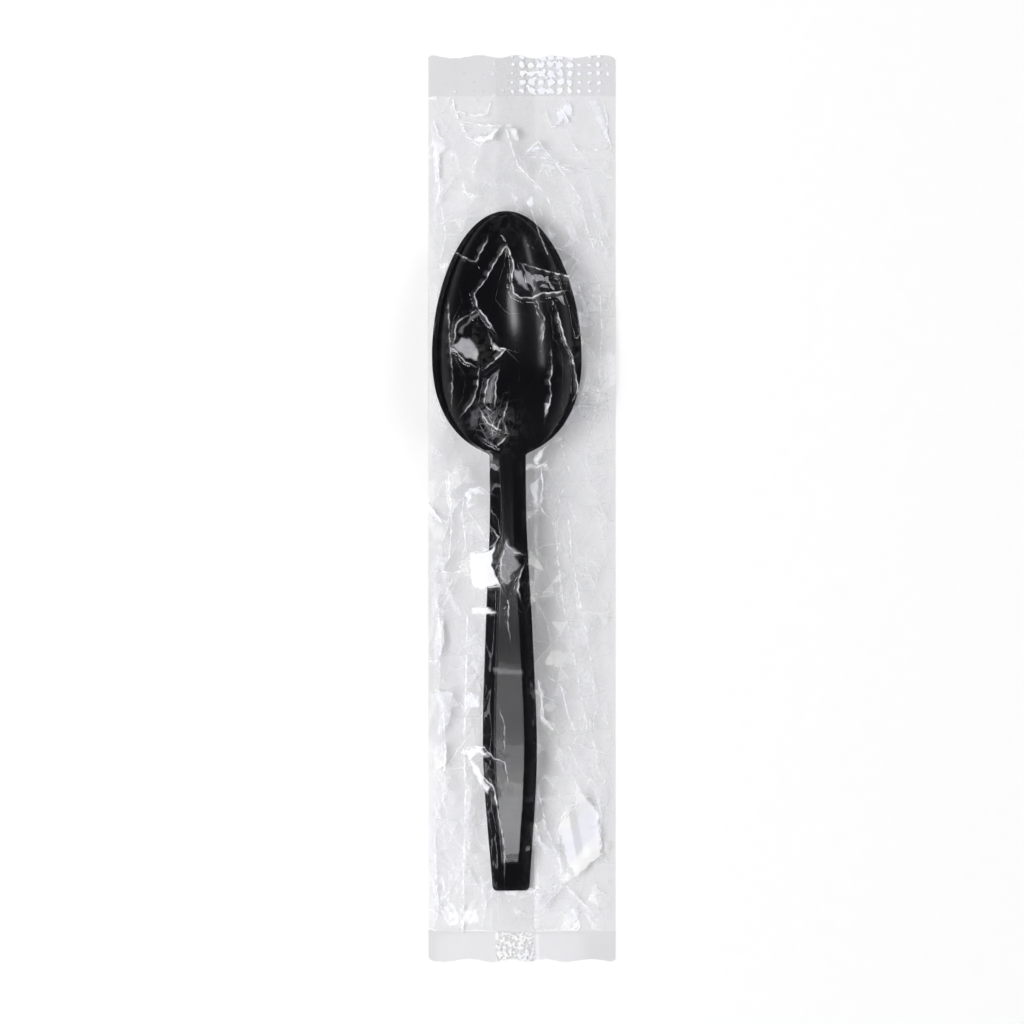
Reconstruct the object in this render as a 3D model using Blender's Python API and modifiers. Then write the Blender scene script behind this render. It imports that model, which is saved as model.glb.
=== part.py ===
"""A disposable spoon sealed in a clear film sleeve, lying on its back film.

The pack has two pieces. The spoon is one injection moulding: an egg-shaped bowl with a flat
rim land, a narrow neck, and a handle whose section is an inverted channel, with a flat crown
panel, sloping shoulders and two feet. The sleeve is one web of film: it is wrapped round the
spoon, its two margins meet in a fin seal that lies folded against the back, and both ends are
pressed flat in crimped seals with a toothed cut.

Frame: metres, +Z up. X runs across the pack, Y along it with the bowl towards +Y, and the
origin is under the middle of the sleeve, on the surface that the pack lies on.
"""

import math

import bmesh
import bpy
import numpy as np

MM = 0.001

# Spoon, measured along its own length from the end of the handle
SPOON_LENGTH = 152.0 * MM
BOWL_LENGTH = 54.4 * MM
BOWL_WIDTH = 33.4 * MM
BOWL_WIDEST_FROM_TIP = 32.0 * MM
BOWL_DEPTH = 6.6 * MM
BOWL_SECTION = 0.8  # exponent of the bowl's section: 1 is a parabola, less is fuller
TIP_FLOOR = (2.2, 0.85)  # exponents of the bowl's floor line towards the tip
HEEL_FLOOR = (2.0, 1.2)  # exponents of the bowl's floor line towards the neck
HOLLOW_SHARES = (0, 0.24, 0.46, 0.66, 0.84, 1)  # places across the hollow, from its middle
OUTER_SHARES = (0.93, 0.78, 0.56, 0.3, 0)  # places across the outside, from the rim
TIP_FULLNESS = 1.85  # exponent of the egg outline towards the tip
HEEL_FULLNESS = 2.35  # exponent of the egg outline towards the neck
RIM_LAND = 1.1 * MM
RIM_LIP = 0.6 * MM
WALL = 1.3 * MM

HANDLE_END_WIDTH = 8.2 * MM
HANDLE_WIDEST = 12.1 * MM
HANDLE_WIDEST_AT = 31.5 * MM
HANDLE_WAIST = 10.6 * MM
HANDLE_WAIST_AT = 57.0 * MM
NECK_WIDTH = 8.1 * MM
NECK_AT = 86.0 * MM
END_CORNER = 1.0 * MM
SHOULDER_WIDTH = 2.65 * MM
SHOULDER_DROP = 1.5 * MM
END_SHOULDER = 6.0 * MM
FOOT_HEIGHT = 1.1 * MM
FOOT_WIDTH = 1.3 * MM
CROWN_FILLET = 0.25 * MM
LEAST_PANEL = 0.25  # crown panel, as a share of half the width, where the handle narrows
LEAST_INNER = 0.3  # inside of the feet, as a share of half the width, where the handle narrows
CHANNEL_END_STEP = 0.05 * MM  # the channel's end wall is this far from square

# Heights of the spoon's crown line above the surface under it, before it is set down
CROWN_MID_AT = 40.0 * MM
CROWN_MID = 9.6 * MM
ARCH_AT = 76.0 * MM
ARCH = 12.4 * MM
HEEL = 11.2 * MM
TIP = 6.4 * MM

# Film sleeve, lying flat
SLEEVE_WIDTH = 42.0 * MM
SLEEVE_LENGTH = 203.4 * MM
TOP_SEAL = 9.4 * MM
BOTTOM_SEAL = 7.0 * MM
FILM = 0.05 * MM
WELD_GAP = 0.08 * MM  # between two layers that lie on each other
SEAL_THICKNESS = 0.5 * MM
SEAL_OVERLAP = 1.0 * MM
SEAL_INSET = 0.04 * MM  # the web enters a seal this far above its lower face
SEAL_INSET_SPAN = 0.16  # and comes down to the table over this share of its way to the spoon
RIB_PITCH = 2.0 * MM
RIB_HEIGHT = 0.16 * MM
TOOTH_PITCH = 4.2 * MM
TOOTH_DEPTH = 0.5 * MM
FIN_WIDTH = 8.5 * MM
FIN_ROOT_X = 2.7 * MM

# Where the spoon lies in the sleeve
SPOON_MID_X = -3.05 * MM
SPOON_END_FROM_CUT = 16.1 * MM
SPOON_TURN = math.radians(0.45)
SEAT_GAP = 0.3 * MM  # between the film and the spoon
RIM_MARGIN = 0.55 * MM  # how far the film keeps outside the spoon's outline
TENT_REACH = 24.0 * MM  # how far the film spans past a wide place of the spoon
TENT_SLOPE = 0.42  # how fast such a span narrows
SAG = 0.13  # dip of the film over the bowl, as a share of the bowl's depth
DRAPE = 1.4  # exponent of the film's fall from the spoon to its side folds
HUG = 2.3  # exponent of the back film's rise to the side folds
HUG_REACH = 0.75  # how far under the spoon that rise starts, as a share of half its width
FOLD_REACH = 9.0 * MM  # a side fold further than this from the spoon lies on the table
FOLD_FALL = 1.5  # exponent of a side fold's fall with that distance
FOLD_RISE = (1.6, 0.3)  # how a side fold rises from the seals: slope, and share held flat
FOLD_SHUT = 0.1 * MM
FOLD_FADE = 2.0 * MM  # folds and crinkles fade out this close to the sides

# Main folds of the front film: start, end, height, and width of the long and of the steep side, in mm
FOLDS = (
    ((-15.5, 57.5), (-9.0, 54.5), 0.7, 4.0, 1.6),
    ((-3.4, 59.5), (-10.8, 47.0), 0.8, 4.5, 1.7),
    ((-2.4, 58.5), (-1.8, 46.5), 0.7, 4.0, 1.6),
    ((-1.0, 54.8), (11.5, 51.5), 0.9, 4.0, 1.6),
    ((9.5, 52.5), (15.5, 41.0), 0.8, 4.0, 1.6),
    ((8.0, 44.5), (12.8, 26.0), 0.7, 4.0, 1.6),
    ((-10.2, 24.0), (-2.0, 15.5), 0.8, 3.5, 1.6),
    ((-13.5, 0.5), (-7.0, 5.0), 0.7, 3.0, 1.6),
    ((-20.0, -11.0), (-8.5, -15.5), 0.9, 4.5, 1.8),
    ((-13.0, -19.5), (-9.5, -30.0), 0.7, 3.5, 1.6),
    ((-14.5, -41.0), (-8.5, -45.0), 0.7, 3.0, 1.6),
    ((-12.5, -55.5), (-8.0, -64.0), 0.8, 4.0, 1.6),
    ((-13.0, -66.0), (-13.5, -88.0), 0.6, 4.0, 1.6),
    ((3.5, 9.5), (10.5, -18.0), 1.0, 4.5, 1.7),
    ((12.5, 12.0), (17.5, -6.0), 0.8, 4.0, 1.7),
    ((8.0, -15.0), (15.5, -52.5), 1.0, 5.0, 1.8),
    ((13.0, -18.0), (17.5, -44.0), 0.7, 3.5, 1.6),
    ((3.8, -36.0), (8.8, -51.0), 0.7, 3.5, 1.6),
    ((8.0, -53.5), (17.8, -62.0), 0.8, 4.0, 1.7),
    ((9.0, -60.0), (12.5, -80.0), 0.9, 5.0, 1.7),
    ((9.2, -84.5), (17.5, -74.0), 0.7, 4.0, 1.7),
    ((-14.0, 86.0), (-7.0, 66.0), 0.9, 5.0, 1.8),
    ((3.0, 84.0), (13.5, 61.0), 0.9, 5.0, 1.8),
    ((-1.0, 88.0), (-2.5, 70.0), 0.7, 4.0, 1.7),
)
# Crinkles of film that was crushed: direction, pitch, height and bend of each set of sharp waves
CRINKLES = (
    (14.0, 11.3 * MM, 0.21 * MM, 0.5),
    (-37.0, 9.1 * MM, 0.18 * MM, 0.7),
    (71.0, 13.7 * MM, 0.24 * MM, 0.4),
    (-82.0, 7.9 * MM, 0.13 * MM, 0.6),
)
CRINKLE_BEND_LENGTH = 33.0 * MM
# Flat facets of crushed film: a net of triangles with a height of its own at each corner
FACET_SIZE = 9.5 * MM
FACET_HEIGHT = 0.55 * MM
FACET_STRETCH = 0.75  # how much shorter the net is made across than along the pack
FACET_SEED = 3
FACET_BEND = 1.6 * MM
FACET_BEND_LENGTH = 7.0 * MM
FACET_BEND_START = 1.3
TIGHT = 0.8  # share of all folds and facets that film drawn over the spoon has lost
TIGHT_REACH = 3.0 * MM
# Spots where the tight film was crushed: place and reach, in mm, and share of the folds given back
CRUSHED_SPOTS = (
    (-7, 19, 5, 0.8),
    (-7, -14, 5, 0.8),
    (-12, 36, 5, 0.3),
    (4, 51, 4, 0.25),
    (2, 76, 9, 0.5),
    (-10, 74, 8, 0.5),
    (10, -70, 8, 0.4),
    (0, -88, 7, 0.5),
    (12, 33, 5, 0.3),
    (-8, -62, 4, 0.4),
)

# How finely the two pieces are drawn
CORNER_CELLS = 3
HANDLE_CELLS = 19
NECK_CELLS = 4
HEEL_TURN = 6.5 * MM  # stretch past the heel where the handle's section turns into the bowl's
HEEL_CELLS = 7
FLOOR_CELLS = 6
TIP_ANGLE = math.radians(87.5)  # the last section stops just short of the tip, and is closed flat
TIP_CELLS = 14
SETTLE_STEPS = 400
SETTLE_TURNS = 4
SHARP = math.radians(28)
WELD = 0.01 * MM
FIN_CELLS = 2
BACK_RIGHT_CELLS = 5
BACK_LEFT_CELLS = 5
FLANK_CELLS = 6
MIDDLE_CELLS = 10
HAIRPIN_CELLS = 3
SLEEVE_CELLS = 66
TENT_STEPS = 49

HANDLE_DEPTH = SHOULDER_DROP + FOOT_HEIGHT
HEEL_AT = SPOON_LENGTH - BOWL_LENGTH
DEEPEST_AT = SPOON_LENGTH - BOWL_WIDEST_FROM_TIP
LAYER = FILM + WELD_GAP
FIN_STACK = 2 * LAYER  # height of the back film above the web that lies on the table
SEAT = FIN_STACK + FILM + SEAT_GAP
BOTTOM_CUT = -SLEEVE_LENGTH / 2
TOP_CUT = SLEEVE_LENGTH / 2
BOTTOM_SEALED = BOTTOM_CUT + BOTTOM_SEAL
TOP_SEALED = TOP_CUT - TOP_SEAL
SPOON_END_Y = BOTTOM_CUT + SPOON_END_FROM_CUT
FIN_EDGE_X = FIN_ROOT_X - FIN_WIDTH


def smooth_line(knots, at):
    """A smooth curve through (place, value) knots, with each slope taken from its neighbours."""
    places, values = np.array(knots).T
    slopes = np.gradient(values, places)
    k = np.clip(np.searchsorted(places, at, side="right") - 1, 0, len(places) - 2)
    span = places[k + 1] - places[k]
    t = np.clip((at - places[k]) / span, 0, 1)
    start = (1 + 2 * t) * (1 - t) ** 2 * values[k] + t * (1 - t) ** 2 * span * slopes[k]
    end = t**2 * (3 - 2 * t) * values[k + 1] + t**2 * (t - 1) * span * slopes[k + 1]
    return start + end


def ease(t):
    """0 below 0, 1 above 1, and a smooth turn between."""
    t = np.clip(t, 0, 1)
    return t * t * (3 - 2 * t)


def egg_half_width(u):
    """Half the bowl's width at u along the spoon: two half eggs that meet at the widest place."""
    to_tip = np.clip((u - DEEPEST_AT) / BOWL_WIDEST_FROM_TIP, 0, 1) ** TIP_FULLNESS
    to_heel = np.clip((DEEPEST_AT - u) / (DEEPEST_AT - HEEL_AT), 0, 1) ** HEEL_FULLNESS
    return BOWL_WIDTH / 2 * np.sqrt(1 - np.maximum(to_tip, to_heel))


def handle_half_width(u):
    """Half the handle's width at u, with round corners at its end and a fade inside the bowl."""
    knots = (
        (0, HANDLE_END_WIDTH / 2),
        (HANDLE_WIDEST_AT, HANDLE_WIDEST / 2),
        (HANDLE_WAIST_AT, HANDLE_WAIST / 2),
        (NECK_AT, NECK_WIDTH / 2),
        (HEEL_AT, NECK_WIDTH / 2),
    )
    corner = np.clip(END_CORNER - u, 0, END_CORNER)
    rounded = END_CORNER - np.sqrt(END_CORNER**2 - corner**2)
    fade = 1 - ease((u - HEEL_AT) / (DEEPEST_AT - HEEL_AT))
    return (smooth_line(knots, u) - rounded) * fade


def half_width(u):
    """Half the spoon's width: bowl and handle joined with a fillet by a cubic mean."""
    return np.cbrt(egg_half_width(u) ** 3 + handle_half_width(u) ** 3)


def bowl_depth(u):
    """Depth of the bowl under its rim along the spoon's middle."""
    to_tip = np.clip((u - DEEPEST_AT) / BOWL_WIDEST_FROM_TIP, 0, 1)
    to_heel = np.clip((DEEPEST_AT - u) / (DEEPEST_AT - HEEL_AT), 0, 1)
    tip_floor = (1 - to_tip ** TIP_FLOOR[0]) ** TIP_FLOOR[1]
    heel_floor = (1 - to_heel ** HEEL_FLOOR[0]) ** HEEL_FLOOR[1]
    return BOWL_DEPTH * tip_floor * heel_floor


def crown_shape(u):
    """Side profile of the spoon's top edge, before it is set down."""
    knots = (
        (0, HANDLE_DEPTH),
        (CROWN_MID_AT, CROWN_MID),
        (ARCH_AT, ARCH),
        (HEEL_AT, HEEL),
        (DEEPEST_AT, BOWL_DEPTH + WALL),
        (SPOON_LENGTH, TIP),
    )
    return smooth_line(knots, u)


def settling():
    """(lift, tilt) that set the spoon down on the end of its handle and the back of its bowl."""
    bowl = np.linspace(HEEL_AT, SPOON_LENGTH, SETTLE_STEPS)
    under_bowl = crown_shape(bowl) - bowl_depth(bowl) - WALL
    lift = HANDLE_DEPTH - crown_shape(0)
    tilt = 0.0
    for _ in range(SETTLE_TURNS):
        touching = np.argmin(under_bowl + lift + tilt * bowl)
        tilt = -(under_bowl[touching] + lift) / bowl[touching]
    return SEAT + lift, tilt


LIFT, TILT = settling()


def crown(u):
    """Height of the spoon's top edge above the table, lying in the sleeve."""
    return crown_shape(u) + LIFT + TILT * u


def handle_ring(u):
    """Half section of the handle from the middle of its crown round to the middle of its channel."""
    w = half_width(u)
    panel = np.maximum(w - SHOULDER_WIDTH, LEAST_PANEL * w)
    end_drop = SHOULDER_DROP * np.clip(1 - u / END_SHOULDER, 0, 1)

    def roof(x):
        side_drop = SHOULDER_DROP * np.clip((x - panel) / (w - panel), 0, 1)
        return -np.maximum(end_drop, side_drop)

    hollow = u > FOOT_WIDTH
    inner = np.maximum(w - FOOT_WIDTH, LEAST_INNER * w)
    ceiling = np.where(hollow, roof(inner) - WALL, -HANDLE_DEPTH)
    middle = np.where(hollow, -end_drop - WALL, -HANDLE_DEPTH)
    on_panel = [0 * w, panel / 2, panel - CROWN_FILLET]
    on_shoulder = [panel + CROWN_FILLET, (panel + w) / 2, (panel + 7 * w) / 8, w]
    top = [(x, roof(x)) for x in on_panel + on_shoulder]
    under = [
        (w, -HANDLE_DEPTH + 0 * w),
        (inner, -HANDLE_DEPTH + 0 * w),
        (inner, ceiling),
        (np.minimum(panel, (panel + inner) / 2), middle),
        (panel / 2, middle),
        (0 * w, middle),
    ]
    return np.array(top + under)


def bowl_ring(u):
    """Half section of the bowl: hollow side, flat rim land, lip and outer side."""
    w = half_width(u)
    inner = np.maximum(w - RIM_LAND, w / 2)
    depth = bowl_depth(u)

    def hollow(share):
        return inner * share, -depth * (1 - share**2) ** BOWL_SECTION

    def outer(share):
        return w * share, -RIM_LIP - (depth + WALL - RIM_LIP) * (1 - share**2) ** BOWL_SECTION

    top = [hollow(share) for share in HOLLOW_SHARES] + [(w, 0 * w)]
    under = [(w, -RIM_LIP + 0 * w)] + [outer(share) for share in OUTER_SHARES]
    return np.array(top + under)


def spoon_stations():
    """Places along the spoon where its section is drawn, closest where the outline turns."""
    corner = END_CORNER * (1 - np.cos(np.linspace(0, math.pi / 2, CORNER_CELLS + 1)))
    channel_end = np.array([FOOT_WIDTH - CHANNEL_END_STEP, FOOT_WIDTH + CHANNEL_END_STEP])
    handle = np.linspace(END_SHOULDER, NECK_AT, HANDLE_CELLS + 1)
    neck = np.linspace(NECK_AT, HEEL_AT, NECK_CELLS + 1)[1:]
    heel = np.linspace(HEEL_AT, HEEL_AT + HEEL_TURN, HEEL_CELLS + 1)[1:]
    floor = np.linspace(heel[-1], DEEPEST_AT, FLOOR_CELLS + 1)[1:-1]
    tip = DEEPEST_AT + BOWL_WIDEST_FROM_TIP * np.sin(np.linspace(0, TIP_ANGLE, TIP_CELLS + 1))
    return np.concatenate([corner, channel_end, handle, neck, heel, floor, tip])


def grid_mesh(name, across, along):
    """A flat grid primitive of across by along cells, as (object, column, row) of each vertex."""
    bpy.ops.mesh.primitive_grid_add(x_subdivisions=across, y_subdivisions=along, size=2)
    grid = bpy.context.object
    grid.name = name
    grid.data.name = name
    places = np.empty(len(grid.data.vertices) * 3)
    grid.data.vertices.foreach_get("co", places)
    places = places.reshape(-1, 3)
    column = np.rint((places[:, 0] + 1) / 2 * across).astype(int)
    row = np.rint((places[:, 1] + 1) / 2 * along).astype(int)
    return grid, column, row


def set_places(thing, places):
    """Moves every vertex of an object's mesh to its row of places."""
    thing.data.vertices.foreach_set("co", places.astype(np.float32).ravel())
    thing.data.update()


def weld_and_face_out(thing):
    """Merges the seam of a wrapped grid, closes its open ends and points its faces outwards."""
    mesh = bmesh.new()
    mesh.from_mesh(thing.data)
    bmesh.ops.remove_doubles(mesh, verts=mesh.verts, dist=WELD)
    open_edges = [edge for edge in mesh.edges if edge.is_boundary]
    bmesh.ops.holes_fill(mesh, edges=open_edges, sides=0)
    bmesh.ops.recalc_face_normals(mesh, faces=mesh.faces)
    mesh.to_mesh(thing.data)
    mesh.free()


def make_spoon():
    """The spoon: sections lofted from the end of the handle to the tip of the bowl."""
    u = spoon_stations()
    into_bowl = ease((u - NECK_AT) / (HEEL_AT + HEEL_TURN - NECK_AT))
    half = handle_ring(u) * (1 - into_bowl) + bowl_ring(u) * into_bowl
    left = half[-2:0:-1] * np.array([-1, 1])[None, :, None]
    ring = np.concatenate([half, left, half[:1]])
    spoon, column, row = grid_mesh("spoon", len(ring) - 1, len(u) - 1)
    x, z = ring[column, :, row].T
    set_places(spoon, np.stack([x, u[row], crown(u[row]) + z], axis=1))
    weld_and_face_out(spoon)
    spoon.data.shade_smooth()
    spoon.data.set_sharp_from_angle(angle=SHARP)
    spoon.rotation_euler.z = SPOON_TURN
    along = np.array([-math.sin(SPOON_TURN), math.cos(SPOON_TURN)])
    spoon.location = (SPOON_MID_X - along[0] * SPOON_LENGTH / 2, SPOON_END_Y, 0)
    return spoon


def spoon_axis_x(y):
    """The spoon's middle line at y along the pack."""
    return SPOON_MID_X - math.tan(SPOON_TURN) * (y - SPOON_END_Y - SPOON_LENGTH / 2)


def sleeve_rows():
    """Places along the sleeve where its section is drawn, ending inside both crimped seals."""
    return np.linspace(BOTTOM_SEALED - SEAL_OVERLAP, TOP_SEALED + SEAL_OVERLAP, SLEEVE_CELLS + 1)


def towards_seals(y):
    """1 over the spoon, falling to 0 at the seals beyond its two ends."""
    below = (y - BOTTOM_SEALED) / (SPOON_END_Y - RIM_MARGIN - BOTTOM_SEALED)
    above = (TOP_SEALED - y) / (TOP_SEALED - SPOON_END_Y - SPOON_LENGTH - RIM_MARGIN)
    return np.clip(np.minimum(below, above), 0, 1)


def along_spoon(y):
    """Place along the spoon under each row, held at the spoon's ends beyond them."""
    return np.clip(y - SPOON_END_Y, 0, SPOON_LENGTH)


def carried_half_width(y):
    """Half the width of film that the spoon holds up: its outline, with straight spans past it."""
    step = np.linspace(-TENT_REACH, TENT_REACH, TENT_STEPS)[:, None]
    place = y - SPOON_END_Y + step
    spans = half_width(np.clip(place, 0, SPOON_LENGTH)) + RIM_MARGIN - TENT_SLOPE * np.abs(step)
    on_spoon = (place >= 0) & (place <= SPOON_LENGTH)
    return np.max(np.where(on_spoon, spans, RIM_MARGIN), axis=0)


def side_fold_height(y, gap):
    """Height of a side fold that is gap away from the film that the spoon holds up."""
    near = np.clip(1 - (gap - RIM_MARGIN) / FOLD_REACH, 0, 1) ** FOLD_FALL
    lifted = near * ease(towards_seals(y) * FOLD_RISE[0] - FOLD_RISE[1])
    return LAYER + (crown(along_spoon(y)) - RIM_LIP / 2 - LAYER) * lifted


def folds(x, y):
    """Height of the main folds: a long and a steep side that meet in a sharp line."""
    total = np.zeros(np.broadcast(x, y).shape)
    for start, end, height, long_side, steep_side in FOLDS:
        a, b = np.array(start) * MM, np.array(end) * MM
        length = np.linalg.norm(b - a)
        direction = (b - a) / length
        along = ((x - a[0]) * direction[0] + (y - a[1]) * direction[1]) / length
        aside = (x - a[0]) * direction[1] - (y - a[1]) * direction[0]
        side = np.where(aside > 0, long_side, steep_side) * MM
        ends = np.clip(1 - (2 * along - 1) ** 4, 0, 1)
        total += height * MM * ends * np.clip(1 - np.abs(aside) / side, 0, 1)
    return total


def crinkles(x, y):
    """Height of the crinkles: crossing sets of bent, sharp-edged waves."""
    total = np.zeros(np.broadcast(x, y).shape)
    for degrees, pitch, height, bend in CRINKLES:
        turn = math.radians(degrees)
        across = (x * math.cos(turn) + y * math.sin(turn)) / pitch
        along = (y * math.cos(turn) - x * math.sin(turn)) / CRINKLE_BEND_LENGTH
        wave = (across + bend * np.sin(2 * math.pi * along)) % 1
        total += height * np.abs(2 * wave - 1)
    return total


def scatter(i, j):
    """A number from 0 to 1 for each corner of a net: the fraction of a large multiple of a sine."""
    return (np.sin(i * 127.1 + j * 311.7 + FACET_SEED * 74.7) * 43758.5453) % 1


def facets(x, y):
    """Height from 0 to 1 that is linear in each triangle of a net, which is bent by sines first."""
    a, b = x / FACET_BEND_LENGTH, y * FACET_STRETCH / FACET_BEND_LENGTH
    start = FACET_BEND_START
    bent_x = x + FACET_BEND * (np.sin(b + start) + 0.6 * np.sin(1.9 * b + 0.7 * a + 2 * start))
    sway = np.sin(1.1 * a + 3 * start) + 0.6 * np.sin(2.1 * a - 0.8 * b + start)
    v = (y * FACET_STRETCH + FACET_BEND * sway) / (FACET_SIZE * math.sqrt(0.75))
    w = bent_x / FACET_SIZE - v / 2
    i, j = np.floor(w), np.floor(v)
    a, b = w - i, v - j
    lower = a + b < 1
    near = np.where(lower, scatter(i, j), scatter(i + 1, j + 1)) * np.where(lower, 1 - a - b, a + b - 1)
    aside = scatter(i + 1, j) * np.where(lower, a, 1 - b)
    return near + aside + scatter(i, j + 1) * np.where(lower, b, 1 - a)


def slackness(x, y):
    """How much of its folds the film keeps: little where it is tight over the spoon, all beside it."""
    inside = ease((carried_half_width(y) - np.abs(x - spoon_axis_x(y))) / TIGHT_REACH)
    slack = 1 - TIGHT * inside * towards_seals(y)
    for at_x, at_y, reach, share in CRUSHED_SPOTS:
        away = ((x / MM - at_x) ** 2 + (y / MM - at_y) ** 2) / reach**2
        slack = slack + share * np.exp(-away)
    return np.minimum(slack, 1)


def shoulder_fall(x, y):
    """How far the film follows the shoulders of the handle down from its crown."""
    u = along_spoon(y)
    w = half_width(u)
    panel = np.maximum(w - SHOULDER_WIDTH, LEAST_PANEL * w)
    way = np.clip((np.abs(x - spoon_axis_x(y)) - panel) / np.maximum(w - panel, CROWN_FILLET), 0, 1)
    on_handle = 1 - ease((u - NECK_AT) / (HEEL_AT - NECK_AT))
    return SHOULDER_DROP * way * on_handle * towards_seals(y) ** DRAPE


def over_fin(x):
    """Whether x is over the folded fin seal."""
    return (x > FIN_EDGE_X - LAYER) & (x < FIN_ROOT_X)


def back_line(y, x):
    """z of the back film at x: flat on the table, and up to the side folds beside the bowl."""
    middle = spoon_axis_x(y)
    width = carried_half_width(y)
    left_gap = middle - width + SLEEVE_WIDTH / 2
    right_gap = SLEEVE_WIDTH / 2 - middle - width
    reach = HUG_REACH * width
    from_left = np.clip((x + SLEEVE_WIDTH / 2) / (np.maximum(left_gap, 0) + reach), 0, 1)
    from_right = np.clip((SLEEVE_WIDTH / 2 - x) / (np.maximum(right_gap, 0) + reach), 0, 1)
    left = (side_fold_height(y, left_gap) - LAYER) * (1 - from_left) ** HUG
    right = (side_fold_height(y, right_gap) - LAYER) * (1 - from_right) ** HUG
    return FILM / 2 + left + right


def front_line(y):
    """(x, z) of the front film across the pack at rows y, from the left fold to the right."""
    u = along_spoon(y)
    middle = spoon_axis_x(y)
    width = carried_half_width(y)
    side = SLEEVE_WIDTH / 2
    edge = side - FOLD_SHUT
    left = np.maximum(middle - width, -edge + FOLD_SHUT * 3)
    right = np.minimum(middle + width, edge - FOLD_SHUT * 3)
    share = np.linspace(0, 1, FLANK_CELLS + 1)[:, None]
    across = np.linspace(0, 1, MIDDLE_CELLS + 1)[1:-1, None]
    x = np.concatenate([
        -edge + (left + edge) * share,
        left + (right - left) * across,
        right + (edge - right) * share,
    ])
    fold_left = side_fold_height(y, left + side) + LAYER / 2
    fold_right = side_fold_height(y, side - right) + LAYER / 2
    held = crown(u) + SEAT_GAP + FILM / 2
    flat = FIN_STACK + LAYER
    top = flat + (held - flat) * towards_seals(y) ** DRAPE
    top = top - shoulder_fall(x, y)
    left_top, middle_top, right_top = np.split(top, [FLANK_CELLS + 1, -FLANK_CELLS - 1])
    z = np.concatenate([
        fold_left + (left_top - fold_left) * share**DRAPE,
        middle_top - SAG * bowl_depth(u) * (1 - (2 * across - 1) ** 2),
        fold_right + (right_top - fold_right) * (1 - share) ** DRAPE,
    ])
    lowest = np.maximum(back_line(y, x), np.where(over_fin(x), FIN_STACK, 0) + FILM / 2) + LAYER
    free = np.clip((side - np.abs(x)) / FOLD_FADE, 0, 1) * towards_seals(y) ** 0.5
    creased = folds(x, y) + crinkles(x, y) + FACET_HEIGHT * facets(x, y)
    return x, np.maximum(z, lowest) + creased * free * slackness(x, y)


def sleeve_section(y):
    """(x, z) of the whole web at rows y, from the fin's free edge round to its free edge."""
    flat = np.zeros_like(y)
    side = SLEEVE_WIDTH / 2
    inset = SEAL_INSET * (1 - ease(towards_seals(y) / SEAL_INSET_SPAN))
    fin = np.linspace(FIN_EDGE_X, FIN_ROOT_X, FIN_CELLS + 1)[:, None] + flat
    lower_fin = (fin, FILM / 2 + 0 * fin)

    right_x = np.linspace(FIN_ROOT_X, side - FOLD_SHUT, BACK_RIGHT_CELLS + 1)[1:, None] + flat
    back_right = (right_x, back_line(y, right_x))

    x, z = front_line(y)
    front = (x[::-1], z[::-1])
    right_tip = (side + flat[None], (back_right[1][-1] + z[-1])[None] / 2)

    landing = FIN_EDGE_X - 3 * LAYER
    left_x = np.linspace(-side + FOLD_SHUT, landing, BACK_LEFT_CELLS + 1)[:, None] + flat
    over_x = np.linspace(FIN_EDGE_X, FIN_ROOT_X, FIN_CELLS + 1)[:, None] + flat
    over_z = np.maximum(back_line(y, over_x), FIN_STACK + FILM / 2)
    back_left = (np.concatenate([left_x, over_x]), np.concatenate([back_line(y, left_x), over_z]))
    left_tip = (-side + flat[None], (back_left[1][0] + z[0])[None] / 2)

    bend = np.linspace(math.pi / 2, -math.pi / 2, HAIRPIN_CELLS + 1)[1:-1, None]
    upper = FILM / 2 + LAYER
    height = (over_z[-1] - upper) / 2
    hairpin = (FIN_ROOT_X + height * np.cos(bend), upper + height + height * np.sin(bend))
    upper_fin = (fin[::-1], upper + 0 * fin)

    parts = (lower_fin, back_right, right_tip, front, left_tip, back_left, hairpin, upper_fin)
    across = np.concatenate([part[0] for part in parts])
    up = np.concatenate([part[1] for part in parts]) + inset
    return across, up


def make_seal(name, start, cut):
    """A crimped end: the layers welded in a ribbed strip from start to a toothed cut."""
    teeth = 2 * round(SLEEVE_WIDTH / TOOTH_PITCH)
    ribbed = 2 * max(1, round((abs(cut - start) - SEAL_OVERLAP) / RIB_PITCH))
    strip, column, row = grid_mesh(name, teeth, ribbed + 1)
    outwards = math.copysign(1, cut - start)
    edge = -SLEEVE_WIDTH / 2 + SLEEVE_WIDTH * column / teeth
    first_rib = start + (SEAL_OVERLAP + SEAL_INSET) * outwards
    y = first_rib + (cut - first_rib) * np.maximum(row - 1, 0) / ribbed
    y = np.where(row == 0, start, y)
    y = np.where((row == ribbed + 1) & (column % 2 == 1), y - TOOTH_DEPTH * outwards, y)
    rib = np.where((row > 1) & (row % 2 == 0), RIB_HEIGHT, 0)
    set_places(strip, np.stack([edge, y, SEAL_THICKNESS / 2 + rib], axis=1))
    if cut < start:
        strip.data.flip_normals()
    wall = strip.modifiers.new("Thickness", "SOLIDIFY")
    wall.thickness = SEAL_THICKNESS
    wall.offset = 0
    strip.hide_render = True
    strip.display_type = "WIRE"
    return strip


def make_sleeve(cutters):
    """The film sleeve: one wrapped web, given its thickness and joined to its two crimped seals."""
    y = sleeve_rows()
    across, up = sleeve_section(y)
    sleeve, column, row = grid_mesh("film_sleeve", len(across) - 1, len(y) - 1)
    x, z = across[column, row], up[column, row]
    set_places(sleeve, np.stack([x, y[row], z], axis=1))
    sleeve.data.flip_normals()
    wall = sleeve.modifiers.new("Film thickness", "SOLIDIFY")
    wall.thickness = FILM
    wall.offset = 0
    seals = (
        make_seal("top_crimp", TOP_SEALED, TOP_CUT),
        make_seal("bottom_crimp", BOTTOM_SEALED, BOTTOM_CUT),
    )
    for seal in seals:
        join = sleeve.modifiers.new("Join " + seal.name, "BOOLEAN")
        join.operation = "UNION"
        join.object = seal
        move_to(seal, cutters)
    return sleeve


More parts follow.
